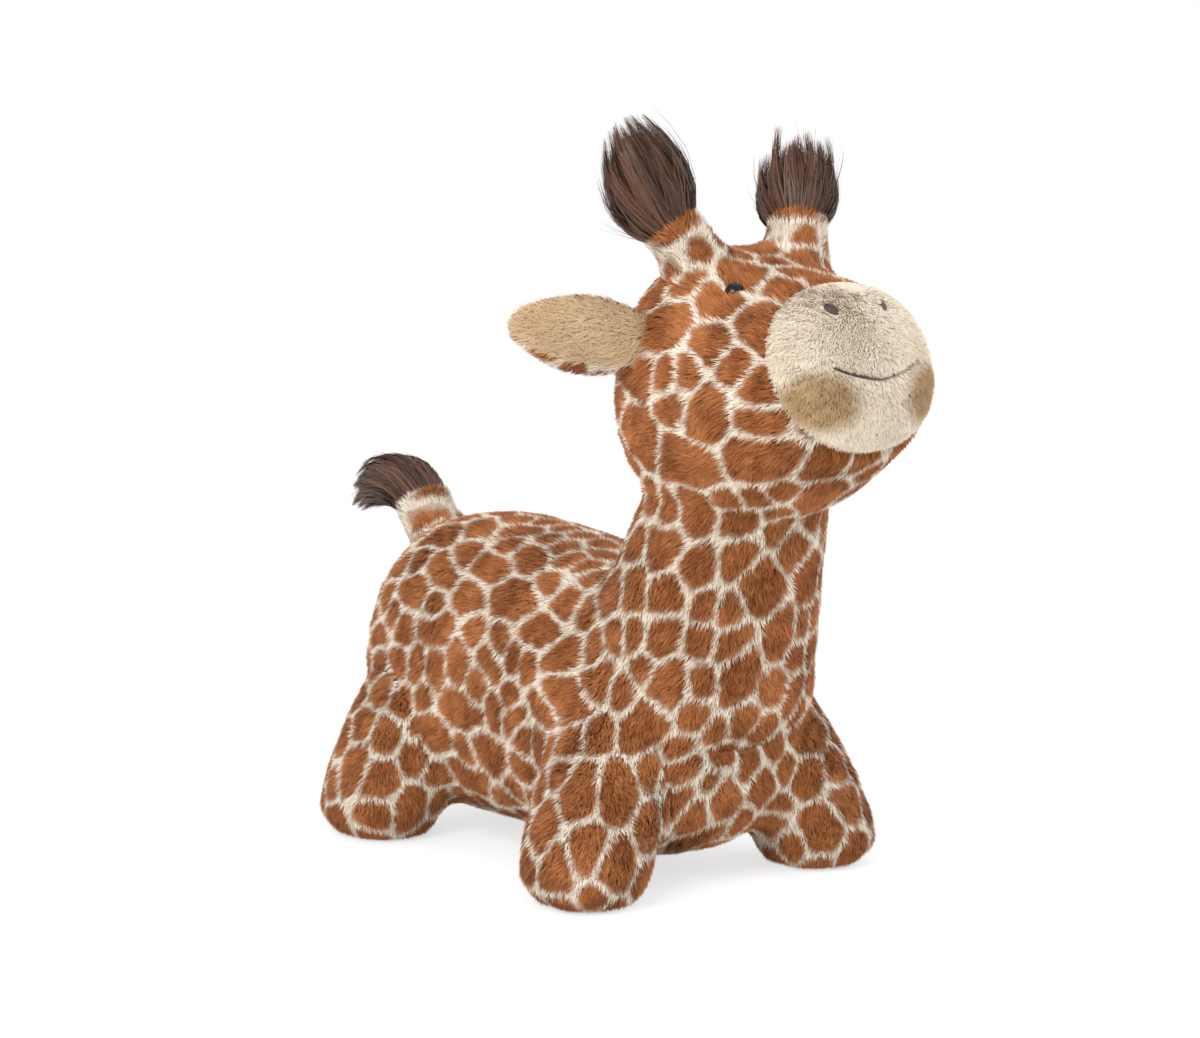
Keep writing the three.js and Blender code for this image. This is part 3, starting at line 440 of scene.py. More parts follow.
class Patch:
    """A grid of points on a surface: rows run along it and columns round it, back to the start
    where it is whole."""

    def __init__(self, points, outside, whole=True):
        self.points = points
        self.whole = whole
        along = np.gradient(points, axis=0)
        if whole:
            around = (np.roll(points, -1, 1) - np.roll(points, 1, 1)) / 2
        else:
            around = np.gradient(points, axis=1)
        normal = unit(np.cross(around, along))
        if (normal * outside).sum() < 0:
            normal = -normal
        self.normal = normal
        self.clear = np.full(points.shape[:2], FAR)
        self.wanted = np.ones(points.shape[:2], bool)

    def settle(self, own, others, least=-1.0):
        """Moves the patch onto the union with its neighbours, without the stray moves that a
        crease gives, and wants pile where it lies at least so far outside them."""
        shape = self.points.shape
        points, normals, clear = settle(
            self.points.reshape(-1, 3), self.normal.reshape(-1, 3), own, others)
        moved = calm(points.reshape(shape) - self.points, POINT_SPIKE)
        self.points = self.points + moved
        self.normal = unit(calm(normals.reshape(shape), NORMAL_SPIKE))
        self.clear = clear.reshape(shape[:2])
        self.wanted &= self.clear > least
        return self

    def at(self, values, row, column):
        """Bilinear reading of a grid of values at fractional rows and columns."""
        rows, columns = values.shape[:2]
        i = np.clip(row.astype(int), 0, rows - 2)
        j = column.astype(int)
        a, b = row - i, column - j
        if self.whole:
            j0, j1 = j % columns, (j + 1) % columns
        else:
            j0 = np.clip(j, 0, columns - 2)
            j1, b = j0 + 1, column - j0
        if values.ndim == 3:
            a, b = a[:, None], b[:, None]
        low = values[i, j0] * (1 - b) + values[i, j1] * b
        high = values[i + 1, j0] * (1 - b) + values[i + 1, j1] * b
        return low * (1 - a) + high * a

    def spacing(self):
        """How far each point lies from the next one round."""
        return np.linalg.norm(np.gradient(self.points, axis=1), axis=-1)

    def scatter(self, density):
        """Places spread evenly by area over the wanted cells, as fractional rows and columns."""
        p = self.points if not self.whole else np.concatenate([self.points, self.points[:, :1]], 1)
        e1, e2 = p[:-1, 1:] - p[:-1, :-1], p[1:, :-1] - p[:-1, :-1]
        area = np.linalg.norm(np.cross(e1, e2), axis=-1) * self.wanted[:-1, :e1.shape[1]]
        total = np.cumsum(area.ravel())
        count = int(total[-1] * density)
        pick = np.searchsorted(total, (np.arange(count) + RNG.random(count)) / count * total[-1])
        i, j = np.divmod(np.minimum(pick, area.size - 1), area.shape[1])
        return i + RNG.random(count), j + RNG.random(count)


def form_patch(form, others, rows, columns, low=0.0, high=1.0, relief=None, least=-1.0):
    """The patch of a form between two shares, with a relief along its normal, settled onto the
    union with its neighbours. Pile grows where it lies at least so far outside them."""
    share = np.linspace(low, high, rows)[:, None]
    turn = np.linspace(0, 360, columns, endpoint=False)[None]
    points = form_point(form, share, turn)
    middle = section(form[1], share[:, 0])[:, None, :3]
    if low == 0:
        points, middle = rounded_end(points[::-1], middle[::-1])
        points, middle = points[::-1], middle[::-1]
    if high == 1:
        points, middle = rounded_end(points, middle)
    patch = Patch(points, points - middle)
    if relief is not None:
        patch = Patch(points + patch.normal * relief(points)[..., None], points - middle)
    return patch.settle(form, others, least)


def rounded_end(points, middle):
    """Adds rings that close a grid's last ring: they shrink to its middle and bulge by 1 mm."""
    share = np.array([0.8, 0.6, 0.4, 0.2, 0.04])[:, None, None]
    centre = points[-1].mean(0)
    ahead = unit(centre - points[-4].mean(0))
    extra = centre + (points[-1] - centre) * share + ahead * (1 - share ** 2)
    inside = np.repeat(centre[None, None] - ahead * 8, len(share), 0)
    return np.concatenate([points, extra]), np.concatenate([middle, inside])


# Roots: the frames of the parts that bend

def on_form(form, at, side=1):
    """The point of a form's skin at [share, turn], or its mirror image on the right, and the
    outward normal there."""
    step = 0.01
    share, turn = at
    if side < 0:
        turn = 180 - turn
    point = form_point(form, share, turn)
    along = form_point(form, share + step, turn) - form_point(form, share - step, turn)
    around = form_point(form, share, turn + 1) - form_point(form, share, turn - 1)
    normal = unit(np.cross(around, along))
    outside = point - section(form[1], np.asarray(share))[:3]
    return point, normal if normal @ outside > 0 else -normal


def ear_frame(side):
    """An ear's root and axes: up its root, to the front, and out to its tip."""
    point, normal = on_form(head, EAR_AT, side)
    sweep, lift = np.radians(EAR_SWEEP), np.radians(EAR_LIFT)
    tip = np.array([side * np.cos(sweep) * np.cos(lift), np.sin(sweep) * np.cos(lift), np.sin(lift)])
    front = unit(np.array([0, -1.0, 0]) + tip * tip[1])
    return point + normal * (EAR_ROOT - ROOT_SINK), np.stack([np.cross(front, tip), front, tip])


def horn_frame(side):
    """A horn's pivot and axes, with the last one up the horn."""
    point, normal = on_form(head, HORN_AT, side)
    back, out = np.radians(HORN_BACK), np.radians(HORN_OUT)
    axis = np.array([side * np.cos(back) * np.sin(out), np.sin(back), np.cos(back) * np.cos(out)])
    across = np.array([np.cos(out), 0, -side * np.sin(out)])
    return point + normal * HORN_SEAT, np.stack([across, np.cross(axis, across), axis])


def tail_frame():
    """The tail's pivot, and its axes with the last one up its stem."""
    point, normal = on_form(torso, TAIL_AT)
    tilt = np.radians(TAIL_TILT)
    axes = [[1, 0, 0], [0, np.cos(tilt), -np.sin(tilt)], [0, np.sin(tilt), np.cos(tilt)]]
    return point + normal * (TAIL_RADIUS - ROOT_SINK), np.array(axes)


torso, neck, head = torso_form(), neck_form(), head_form()
legs = {}
for side_name, side in SIDES:
    legs["front_" + side_name] = leg_form(FRONT_LEG, FRONT_LEG_DEPTH, side)
    legs["rear_" + side_name] = leg_form(REAR_LEG, REAR_LEG_DEPTH, side)
forms = {"torso": torso, "neck": neck, "head": head, **legs}


def stem_shape(frame, radius, length):
    """A round stem from inside the cover to its end, as stem_distance takes it."""
    pivot, axes = frame
    return pivot - axes[2] * STEM_ROOT, pivot + axes[2] * length, radius, radius


horns = {name: stem_shape(horn_frame(side), HORN_RADIUS, HORN_STEM) for name, side in SIDES}
tail = stem_shape(tail_frame(), TAIL_SLEEVE, TAIL_STEM)
neighbours = {
    "torso": [(neck, SHOULDER), *[(leg, THIGH) for leg in legs.values()], (tail, TAIL_FOOT)],
    "neck": [(torso, SHOULDER), (head, NAPE), (legs["front_left"], THIGH),
             (legs["front_right"], THIGH)],
    "head": [(neck, NAPE), *[(horn, HORN_FOOT) for horn in horns.values()]],
    **{name: [(torso, THIGH), (neck, THIGH)] for name in legs},
}

# The muzzle's seam: a plane across the head
seam_row = section(head[1], np.asarray(MUZZLE_SEAM))
seam_tilt = np.radians(seam_row[3])
seam_way = np.array([0, np.sin(seam_tilt), -np.cos(seam_tilt)])
SEAM_PULL, SEAM_WIDTH, PUFF = 3.4, 4.6, 1.6


def past_seam(points):
    """How far points lie before the muzzle's seam, in mm."""
    return (points - seam_row[:3]) @ seam_way


def muzzle_relief(points):
    """The pull of the seam's thread, and the plump muzzle before it."""
    ahead = past_seam(points)
    puff = smooth(ahead / 14) * (1 - smooth((ahead - 38) / 40))
    return PUFF * puff - SEAM_PULL * np.exp(-(ahead / SEAM_WIDTH) ** 2)


# Print: brown patches on cream

def printed(form, rows):
    """Patches of a form from rows of [share of the sections, turn, half length, half width, lean],
    each as [its centre, its long way, half length, half width]. The lean turns the long way from
    along the sections to round them."""
    share, turn, long, wide, lean = np.array(rows, float).T
    centre = form_point(form, share, turn)
    along = unit(form_point(form, share + 0.01, turn) - form_point(form, share - 0.01, turn))
    around = form_point(form, share, turn + 1) - form_point(form, share, turn - 1)
    around = unit(around - dot(around, along) * along)
    lean = np.radians(lean)[:, None]
    way = along * np.cos(lean) + around * np.sin(lean)
    return np.column_stack([centre, way, long, wide])


def staggered(form, first, last, count, around, wide, tall, seed):
    """Patches in staggered rows round a form, from one share of its sections to another. Their
    long way is along it, or round it where tall is under 1."""
    rng = np.random.default_rng(seed)
    jitter = 0.2
    shares = np.linspace(first, last, count)
    rows = []
    for k, share in enumerate(shares):
        turn = (np.arange(around) + 0.5 * (k % 2) + rng.normal(0, jitter, around)) * 360 / around
        here = np.clip(share + rng.normal(0, jitter, around) * (shares[1] - shares[0]), 0.01, 0.99)
        size = wide * rng.uniform(0.8, 1.2, around)
        lean = rng.normal(0, 18, around)
        # as wide as long near a form's ends, where rows would else make a star
        longer = mix(1.0, tall, smooth(np.minimum(here, 1 - here) / 0.16))
        rows.append(np.stack([here, turn, size * longer, size, lean], 1))
    return printed(form, np.vstack(rows))


def site_distances(points, sites):
    """Each point's distance to each site, stretched by the site's own half sizes."""
    away = points[:, None] - sites[:, :3]
    along = (away * sites[:, 3:6]).sum(-1)
    rest = (away ** 2).sum(-1) - along ** 2
    return np.sqrt(np.maximum((along / sites[:, 6]) ** 2 + rest / sites[:, 7] ** 2, 0))


def print_depth(points, sites, flat=None, own=None):
    """How deep in a printed patch a point lies, in mm. A point belongs to its nearest site, and
    its depth is the difference to a soft minimum of the rest, so that corners are round, or to the
    patch's own reach where that is less. own are sites in other coordinates, where points are flat."""
    wide = sites[:, 7] if own is None else np.append(sites[:, 7], own[:, 7])
    out = np.empty(len(points))
    for start in range(0, len(points), POINTS_AT_ONCE):
        here = slice(start, start + POINTS_AT_ONCE)
        far = site_distances(points[here], sites)
        if own is not None:
            far = np.hstack([far, site_distances(flat[here], own)])
        nearest = far.min(1)
        soft = np.exp(-(far - nearest[:, None]) / CORNER).sum(1) - 1
        others = -CORNER * np.log(np.maximum(soft, 1e-9))
        size = wide[far.argmin(1)]
        out[here] = np.minimum(others * size / 2 - LINE_HALF, (REACH - nearest) * size)
    return out


# One patch behind the head and one on the rump, as printed takes them
END_PATCHES = ((head, [0.012, 40, 19, 17, 30]), (torso, [0.012, 60, 21, 16, 20]))
# Rows of patches: [first share, last share, rows, patches in each, half width, length to width]
PATCH_ROWS = {
    "torso": (0.05, 0.97, 17, 13, 11.5, 1.7),
    "neck": (0.24, 0.92, 7, 13, 12.5, 1.35),
    "head": (0.1, 0.63, 7, 12, 15.0, 1.3),
    **{name: (0.12, 0.97, 7, 8, 12.5, 1.3) for name in legs},
}
# Half length and half width of the patch on each sole, and of those that fill a bare place
SOLE_PATCH, ROUND_PATCH = (15, 13), (13, 11)


def with_room(every):
    """Of two patches that crowd each other, the smaller goes."""
    alive = np.ones(len(every), bool)
    for k in np.argsort(every[:, 6] * every[:, 7]):
        near = np.linalg.norm(every[:, :3] - every[k, :3], axis=1)
        near[k] = FAR
        alive[k] = not (alive & (near < LEAST_APART)).any()
    return every[alive]


def filled(every):
    """Where a place on the cover is far from all patches, a round one comes in."""
    cover = []
    for name, form in forms.items():
        share, turn = np.meshgrid(np.linspace(0.02, 0.98, 60), np.arange(0, 360, 6))
        points = form_point(form, share.ravel(), turn.ravel())
        cover.append(points[clearance(points, neighbours[name]) > 0])
    cover = np.vstack(cover)
    away = site_distances(cover, every).min(1)
    while away.max() > MOST_BARE:
        new = np.array([[*cover[away.argmax()], 0, 0, 1, *ROUND_PATCH]])
        every = np.vstack([every, new])
        away = np.minimum(away, site_distances(cover, new)[:, 0])
    return every


def all_sites():
    """Every patch of the cover: one on each sole, on the rump and behind the head, and staggered
    rows round each form where those leave room."""
    kept = [np.array([[*leg[1][-1, :3], 0, 1, 0, *SOLE_PATCH] for leg in legs.values()])]
    kept += [printed(form, [row]) for form, row in END_PATCHES]
    for seed, (name, form) in enumerate(forms.items(), 1):
        rows = staggered(form, *PATCH_ROWS[name], seed)
        rows = rows[clearance(rows[:, :3], neighbours[name]) > -2]
        rows[:, :3] = settle(rows[:, :3], rows[:, 3:6], form, neighbours[name])[0]
        placed = np.vstack(kept)
        away = np.linalg.norm(rows[:, None, :3] - placed[:, :3], axis=-1)
        kept.append(rows[(away / (placed[:, 6] + placed[:, 7])).min(1) > LEAST_ROOM])
    return filled(with_room(np.vstack(kept)))


# Materials

def add(owner, kind, values=None, **settings):
    """Adds a node to a material or the world, and returns its outputs. values maps an input to
    its value, or to the socket that feeds it."""
    made = owner.node_tree.nodes.new("ShaderNode" + kind)
    for name, value in settings.items():
        setattr(made, name, value)
    for key, value in (values or {}).items():
        if isinstance(value, bpy.types.NodeSocket):
            owner.node_tree.links.new(value, made.inputs[key])
        else:
            made.inputs[key].default_value = value
    return made.outputs


def new_material(name):
    made = bpy.data.materials.new(name)
    made.use_nodes = True
    made.node_tree.nodes.clear()
    return made


def finish_material(material, values):
    """Ends a material in a Principled shader with these inputs."""
    shader = add(material, "BsdfPrincipled", values)[0]
    add(material, "OutputMaterial", {"Surface": shader})
    return material


# Sizes in mm of the noise on a pile: where a patch's edge wanders, its tufts, and broad shading
WANDER, FEATHER, BROAD = 15, 4, 40


def pile_material(name, deep, light, ground_deep, ground, root=0.74, soft=0.8):
    """Faux fur: acrylic pile with a print. The point attribute strand holds the depth in a printed
    patch in mm, the rise along the strand, and a tone of the strand's own. The colour carries
    painted shade: root is how dark it is painted at the strand's root, for the shade deep in the
    pile, and it rises to 1.04 at the tip. soft is half the width of a patch's edge."""
    made = new_material(name)
    strand = add(made, "Attribute", attribute_name="strand")["Vector"]
    depth, rise, own = add(made, "SeparateXYZ", {0: strand})
    place = add(made, "TexCoord")["Object"]
    wander, feather, broad = [
        add(made, "TexNoise", {"Vector": place, "Scale": 1000 / size, "Detail": 2.0})[0]
        for size in (WANDER, FEATHER, BROAD)]
    wander = add(made, "Math", {0: wander, 1: 3.0, 2: -1.5}, operation="MULTIPLY_ADD")[0]
    feather = add(made, "Math", {0: feather, 1: 1.6, 2: -0.8}, operation="MULTIPLY_ADD")[0]
    edge = add(made, "Math", {0: depth, 1: wander}, operation="ADD")[0]
    edge = add(made, "Math", {0: edge, 1: feather}, operation="ADD")[0]
    inside = add(made, "MapRange", {0: edge, 1: -soft, 2: soft},
                 interpolation_type="SMOOTHSTEP")[0]
    broad = add(made, "MapRange", {0: broad, 1: 0.35, 2: 0.65},
                interpolation_type="SMOOTHSTEP")[0]
    broad = add(made, "Math", {0: broad, 1: 0.28}, operation="MULTIPLY")[0]
    tone = add(made, "Math", {0: own, 1: 0.72, 2: broad}, operation="MULTIPLY_ADD")[0]
    brown, cream = [
        add(made, "Mix", {0: tone, 6: colour(dark), 7: colour(pale)}, data_type="RGBA")[2]
        for dark, pale in ((deep, light), (ground_deep, ground))]
    cloth = add(made, "Mix", {0: inside, 6: cream, 7: brown}, data_type="RGBA")[2]
    # painted shade: darker towards the strand's root, standing in for the shade deep in the pile
    painted_shade = add(made, "Math", {0: rise, 1: 0.8}, operation="POWER")[0]
    painted_shade = add(made, "Math", {0: painted_shade, 1: 1.04 - root, 2: root}, operation="MULTIPLY_ADD")[0]
    colour_with_painted_shade = add(made, "VectorMath", {0: cloth, "Scale": painted_shade}, operation="SCALE")[0]
    return finish_material(made, {
        "Base Color": colour_with_painted_shade, "Roughness": 0.75, "Specular IOR Level": 0.15,
        "Sheen Weight": 0.05, "Sheen Roughness": 0.5,
    })


# Printed acrylic pile: matt, with a soft sheen, brown patches with feathered edges on cream, and
# painted shade towards the strands' roots
PRINTED = pile_material("printed_acrylic_pile", "#6A320F", "#CC8450", "#E6D8C2", "#FBF4E6",
                        root=0.8, soft=1.3)
# Cream acrylic pile of the muzzle, with a tan airbrushed zone and light painted shade towards the
# strands' roots
CREAM = pile_material("cream_acrylic_pile", "#9A7850", "#CDB088", "#DECEB6", "#F4E9D9",
                      root=0.94, soft=7.0)
# The ears' lining: the same pile, dyed darker, with painted shade towards the strands' roots
LINING = pile_material("beige_acrylic_pile", "#A5845E", "#C9AB82", "#C3A27C", "#E0C6A2", root=0.86)


def hair_material():
    """Long acrylic hair: straight, dark brown, with a silky gloss along each lock. Its colour carries
    painted shade, from 0.75 at a hair's root to 1.1 at its end.
    """
    made = new_material("long_acrylic_hair")
    strand = add(made, "Attribute", attribute_name="strand")["Vector"]
    _, rise, own = add(made, "SeparateXYZ", {0: strand})
    dark, pale = colour("#2C1A13"), colour("#78523F")
    base = add(made, "Mix", {0: own, 6: dark, 7: pale}, data_type="RGBA")[2]
    # painted shade: darker at the hair's root, standing in for the shade inside the tuft, brighter at
    # its end
    painted_shade = add(made, "Math", {0: rise, 1: 0.35, 2: 0.75}, operation="MULTIPLY_ADD")[0]
    colour_with_painted_shade = add(made, "VectorMath", {0: base, "Scale": painted_shade}, operation="SCALE")[0]
    return finish_material(made, {"Base Color": colour_with_painted_shade, "Roughness": 0.42,
                                  "Specular IOR Level": 0.35})


HAIR = hair_material()


def plain_material(name, low, high, size_mm, rough, depth_mm, **values):
    """A finish whose colour and height vary with one noise: low and high are the colours of its
    dark and light places, and rough the roughness of each."""
    made = new_material(name)
    place = add(made, "TexCoord")["Object"]
    grain = add(made, "TexNoise", {"Vector": place, "Scale": 1000 / size_mm, "Detail": 4.0})[0]
    share = add(made, "MapRange", {0: grain, 1: 0.35, 2: 0.65},
                interpolation_type="SMOOTHSTEP")[0]
    tint = add(made, "Mix", {0: share, 6: colour(low), 7: colour(high)}, data_type="RGBA")[2]
    uneven = add(made, "Math", {0: share, 1: rough[1] - rough[0], 2: rough[0]},
                 operation="MULTIPLY_ADD")[0]
    normal = add(made, "Bump", {"Height": grain, "Strength": 0.5, "Distance": depth_mm * MM})[0]
    return finish_material(made, {"Base Color": tint, "Roughness": uneven, "Normal": normal,
                                  **values})


BANDS_PER_METRE = 3.18  # that the wave texture draws at a scale of 1


def stripe_material(name, low, high, axis, pitch_mm, depth_mm, rough, **values):
    """A finish with ridges across one axis, such as the ribs of a weave or laid stitches."""
    made = new_material(name)
    place = add(made, "TexCoord")["Object"]
    wave = add(made, "TexWave", {"Vector": place, "Scale": 1000 / pitch_mm / BANDS_PER_METRE,
                                 "Distortion": 1.2, "Detail": 1.0},
               wave_type="BANDS", bands_direction=axis)["Fac"]
    tint = add(made, "Mix", {0: wave, 6: colour(low), 7: colour(high)}, data_type="RGBA")[2]
    normal = add(made, "Bump", {"Height": wave, "Strength": 0.8, "Distance": depth_mm * MM})[0]
    return finish_material(made, {"Base Color": tint, "Roughness": rough, "Normal": normal,
                                  **values})


# Black acrylic eye buttons: polished, so they show one sharp highlight
EYE = plain_material("polished_acrylic", "#070504", "#0D0908", 30, (0.08, 0.12), 0.01,
                     **{"Specular IOR Level": 0.3})
# Rayon embroidery thread: laid side by side, with a silky line on each thread. The threads are
# drawn 0.6 mm apart, twice the real pitch, so that they show
THREAD = stripe_material("rayon_satin_stitch", "#26140D", "#4E2F20", "X", 0.6, 0.2, 0.45,
                         **{"Sheen Weight": 0.2})
# Woven polyester tape: a herringbone too fine to see but for its ribs
TAPE = stripe_material("woven_polyester_tape", "#7A4C2F", "#9C6A47", "Y", 1.1, 0.12, 0.8,
                       **{"Sheen Weight": 0.15})
# Moulded acetal zip teeth: smooth, with a slight mould mark
TEETH = plain_material("moulded_acetal", "#6A4028", "#774A30", 5, (0.32, 0.42), 0.03)
# Antique nickel of the slider: bright on its faces, dull where it is not rubbed
NICKEL = plain_material("antique_nickel", "#77726A", "#A9A398", 3, (0.25, 0.45), 0.02, Metallic=1.0)
# Calendered vinyl bladder: smooth and slightly soft to look at
VINYL = plain_material("calendered_vinyl", "#CF9838", "#DDA94A", 22, (0.3, 0.42), 0.1)
# Moulded polyethylene valve: waxy white
VALVE = plain_material("moulded_polyethylene", "#E2E2DC", "#EEEEE9", 8, (0.38, 0.5), 0.03,
                       **{"Subsurface Weight": 0.1, "Subsurface Scale": 0.002})
# Nylon eye washer
WASHER = plain_material("moulded_nylon", "#EAEAE5", "#F5F5F1", 4, (0.4, 0.5), 0.02)
# Polyester fibre filling: matt and fluffy
STUFFING = plain_material("polyester_fibre_fill", "#E4E1D8", "#F6F4EE", 5, (0.9, 1.0), 1.2,
                          **{"Sheen Weight": 0.3})

FINISHES = {
    "air_bladder": VINYL, "valve_seat": VALVE, "valve_plug": VALVE, "mouth": THREAD,
    "tail_stuffing": STUFFING, "zip_stop_front": NICKEL, "zip_stop_rear": NICKEL,
    "zip_slider": NICKEL, "zip_pull": NICKEL,
}
for name, _ in SIDES:
    FINISHES.update({
        f"eye_{name}": EYE, f"eye_washer_{name}": WASHER, f"nostril_{name}": THREAD,
        f"horn_stuffing_{name}": STUFFING, f"zip_tape_{name}": TAPE, f"zip_teeth_{name}": TEETH,
    })
for node, finish in FINISHES.items():
    for place in frame["nodes"][node].material_slots:
        place.material = finish


# Strands

def combed_flow(root, normal, comb, unruly):
    """The way each strand lies: the comb direction along the skin, turned in waves and by chance."""
    flow = comb(root)
    turn = waves(root, 70, 5)[:, None] * 0.5
    flow = unit(flow - dot(flow, normal) * normal)
    side = np.cross(normal, flow)
    chance = RNG.normal(0, unruly, normal.shape)
    flow = unit(flow * np.cos(turn) + side * np.sin(turn) + chance)
    return unit(flow - dot(flow, normal) * normal)


def clump_pull(patch, row, column, root):
    """How far each strand's tip is from its clump's middle, and the clump's tone. Clumps are
    squares of the patch, each with its middle at a place drawn for it."""
    e1 = np.linalg.norm(np.diff(patch.points, axis=1), axis=-1).mean()
    e2 = np.linalg.norm(np.diff(patch.points, axis=0), axis=-1).mean()
    ci, cj = np.floor(row * e2 / CLUMP), np.floor(column * e1 / CLUMP)
    lot = np.random.default_rng(77).random((512, 4))
    draw = lot[((ci * 73 + cj * 151) % 512).astype(int)]
    rows, columns = patch.points.shape[:2]
    middle = patch.at(patch.points, np.clip((ci + draw[:, 0]) * CLUMP / e2, 0, rows - 1.01),
                      np.clip((cj + draw[:, 1]) * CLUMP / e1, 0, columns - 1.01))
    pull = np.clip(middle - root, -CLUMP, CLUMP)
    # none where the grid's columns run together
    pull = pull * smooth(patch.at(patch.spacing(), row, column) / e1 - 0.2)[:, None]
    return pull, draw[:, 2]


BLADE_UV = 0.0012  # half a blade's width on its UV map


def strands(name, patch, comb, material, slot, body="body", depth=None, density=STRANDS_PER_MM2,
            length=PILE_LENGTH, lean=0.95, crop=None, group=None, width=STRAND_WIDTH, unruly=0.26,
            root_depth=PILE_DEPTH):
    """Pile on a patch. Each strand is a flat blade of three triangles: it leaves the backing along
    the normal and bends over to the comb direction, with its tip drawn towards its clump. depth
    is a grid of print depths, crop gives the share of its length that each strand keeps, and group
    the piece that it goes to."""
    row, column = patch.scatter(density)
    root = patch.at(patch.points, row, column)
    share = np.ones(len(root)) if crop is None else crop(root)
    good = share > CUT_AWAY
    row, column, root, share = row[good], column[good], root[good], share[good][:, None]
    count = len(root)
    normal = unit(patch.at(patch.normal, row, column))
    flow = combed_flow(root, normal, comb, unruly)
    long = length * RNG.uniform(0.8, 1.15, (count, 1)) * (1 + 0.1 * waves(root, 30, 6)[:, None])
    long = long * share
    base = root - normal * root_depth
    middle = base + long * STRAND_BEND * unit(normal * LOWER_RISE + flow * LOWER_ALONG * lean)
    tip = middle + long * (1 - STRAND_BEND) * unit(normal * UPPER_RISE + flow * lean)
    pull, clump_tone = clump_pull(patch, row, column, root)
    tip = tip + CLUMP_PULL * (pull - dot(pull, normal) * normal)
    blade = unit(np.cross(normal, tip - base))
    blade = unit(blade + RNG.normal(0, 0.35, (count, 3)))
    wide = width * RNG.uniform(0.7, 1.2, (count, 1)) / 2
    points = np.stack([base - blade * wide, base + blade * wide, middle - blade * wide * 0.85,
                       middle + blade * wide * 0.85, tip], 1)
    points[..., 2] = np.maximum(points[..., 2], FLOOR_CLEARANCE)
    faces = np.tile([[0, 1, 3], [0, 3, 2], [2, 3, 4]], (count, 1, 1))
    facing = np.cross(points[:, 1] - points[:, 0], points[:, 4] - points[:, 0])
    away = dot(facing, normal)[:, 0] < 0
    faces[away] = faces[away][..., ::-1]
    data = np.zeros((count, 5, 3))
    data[..., 0] = UNPRINTED if depth is None else patch.at(depth, row, column)[:, None]
    # the rise along the strand, from which the material paints shade towards the root
    data[..., 1] = [0, 0, 0.5, 0.5, 1]
    data[..., 2] = (0.55 * RNG.random(count) + 0.45 * clump_tone)[:, None]
    own = unit(np.cross(tip - base, blade))
    own = np.where(dot(own, normal) < 0, -own, own)
    normals = np.repeat(unit(normal * 0.6 + own * 0.5)[:, None], 5, 1)
    rows, columns = patch.points.shape[:2]
    uv = np.stack([column / columns % 1, row / rows], -1)
    corner = np.array([[-1, 0], [1, 0], [-1, 2], [1, 2], [0, 4]]) * BLADE_UV
    uv = np.clip(uv[:, None] + corner, 0, 1)
    groups = np.zeros(count, int) if group is None else group(root)
    for number, label in enumerate([""] if group is None else GROUP_NAMES[group]):
        chosen = np.flatnonzero(groups == number)
        own_faces = faces[chosen] + np.arange(len(chosen))[:, None, None] * 5
        piece = mesh_piece(name + label, points[chosen].reshape(-1, 3), own_faces.reshape(-1, 3), 3,
                           material, body)
        attribute(piece, "strand", data[chosen].reshape(-1, 3))
        attribute(piece, "custom_normal", normals[chosen].reshape(-1, 3))
        bake_map(piece, uv[chosen].reshape(-1, 2)[own_faces.reshape(-1)])


def torso_group(root):
    return (root[:, 0] < 0) * 3 + np.digitize(root[:, 1], [-40, 95])


def side_group(root):
    return (root[:, 0] < 0).astype(int)


GROUP_NAMES = {
    torso_group: [f"_{part}_{side}" for side in ("left", "right")
                  for part in ("front", "middle", "rear")],
    side_group: ["_left", "_right"],
}


def backing(name, patch, material, slot, replaces, depth=None, body="body", under=PILE_DEPTH,
            fill=1.0, shape=None, step=1):
    """The knitted backing under the pile: the patch moved inwards, closed at its ends. It keeps
    every step-th column. shape changes its points."""
    points = (patch.points - patch.normal * under)[:, ::step]
    rows, columns = points.shape[:2]
    points[..., 2] = np.maximum(points[..., 2], BACKING_CLEARANCE)
    if shape is not None:
        points = shape(points)
    ends = np.stack([points[0].mean(0), points[-1].mean(0)])
    i, j = np.meshgrid(np.arange(rows - 1), np.arange(columns), indexing="ij")
    k = (j + 1) % columns
    quads = np.stack([i * columns + j, i * columns + k, (i + 1) * columns + k,
                      (i + 1) * columns + j], -1).reshape(-1, 4)
    place = np.stack([np.stack([(j + a) / columns, (i + b) / rows], -1)
                      for a, b in ((0, 0), (1, 0), (1, 1), (0, 1))], -2).reshape(-1, 4, 2)
    j = np.arange(columns)
    k = (j + 1) % columns
    top = (rows - 1) * columns
    first = np.stack([0 * j + rows * columns, k, j], -1)
    last = np.stack([0 * j + rows * columns + 1, top + j, top + k], -1)
    ends_place = np.stack([j / columns, 0 * j + 0.5], -1)[:, None] * np.ones((1, 3, 1))
    tris = np.concatenate([quads[:, [0, 1, 2]], quads[:, [0, 2, 3]], first, last])
    place = np.concatenate([place[:, [0, 1, 2]], place[:, [0, 2, 3]], ends_place, ends_place])
    every = np.vstack([points.reshape(-1, 3), ends])
    corner = every[tris]
    if (corner[:, 0] * np.cross(corner[:, 1], corner[:, 2])).sum() < 0:
        tris, place = tris[:, ::-1], place[:, ::-1]
    piece = mesh_piece(name, every, tris, 3, material, body)
    # its rise stays 0, so the material gives the backing the painted shade of the strands' roots
    data = np.zeros((len(every), 3))
    data[:, 0] = UNPRINTED
    if depth is not None:
        data[:-2, 0] = depth[:, ::step].ravel()
    data[:, 2] = 0.5
    attribute(piece, "strand", data)
    bake_map(piece, place.reshape(-1, 2))
    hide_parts(*replaces)


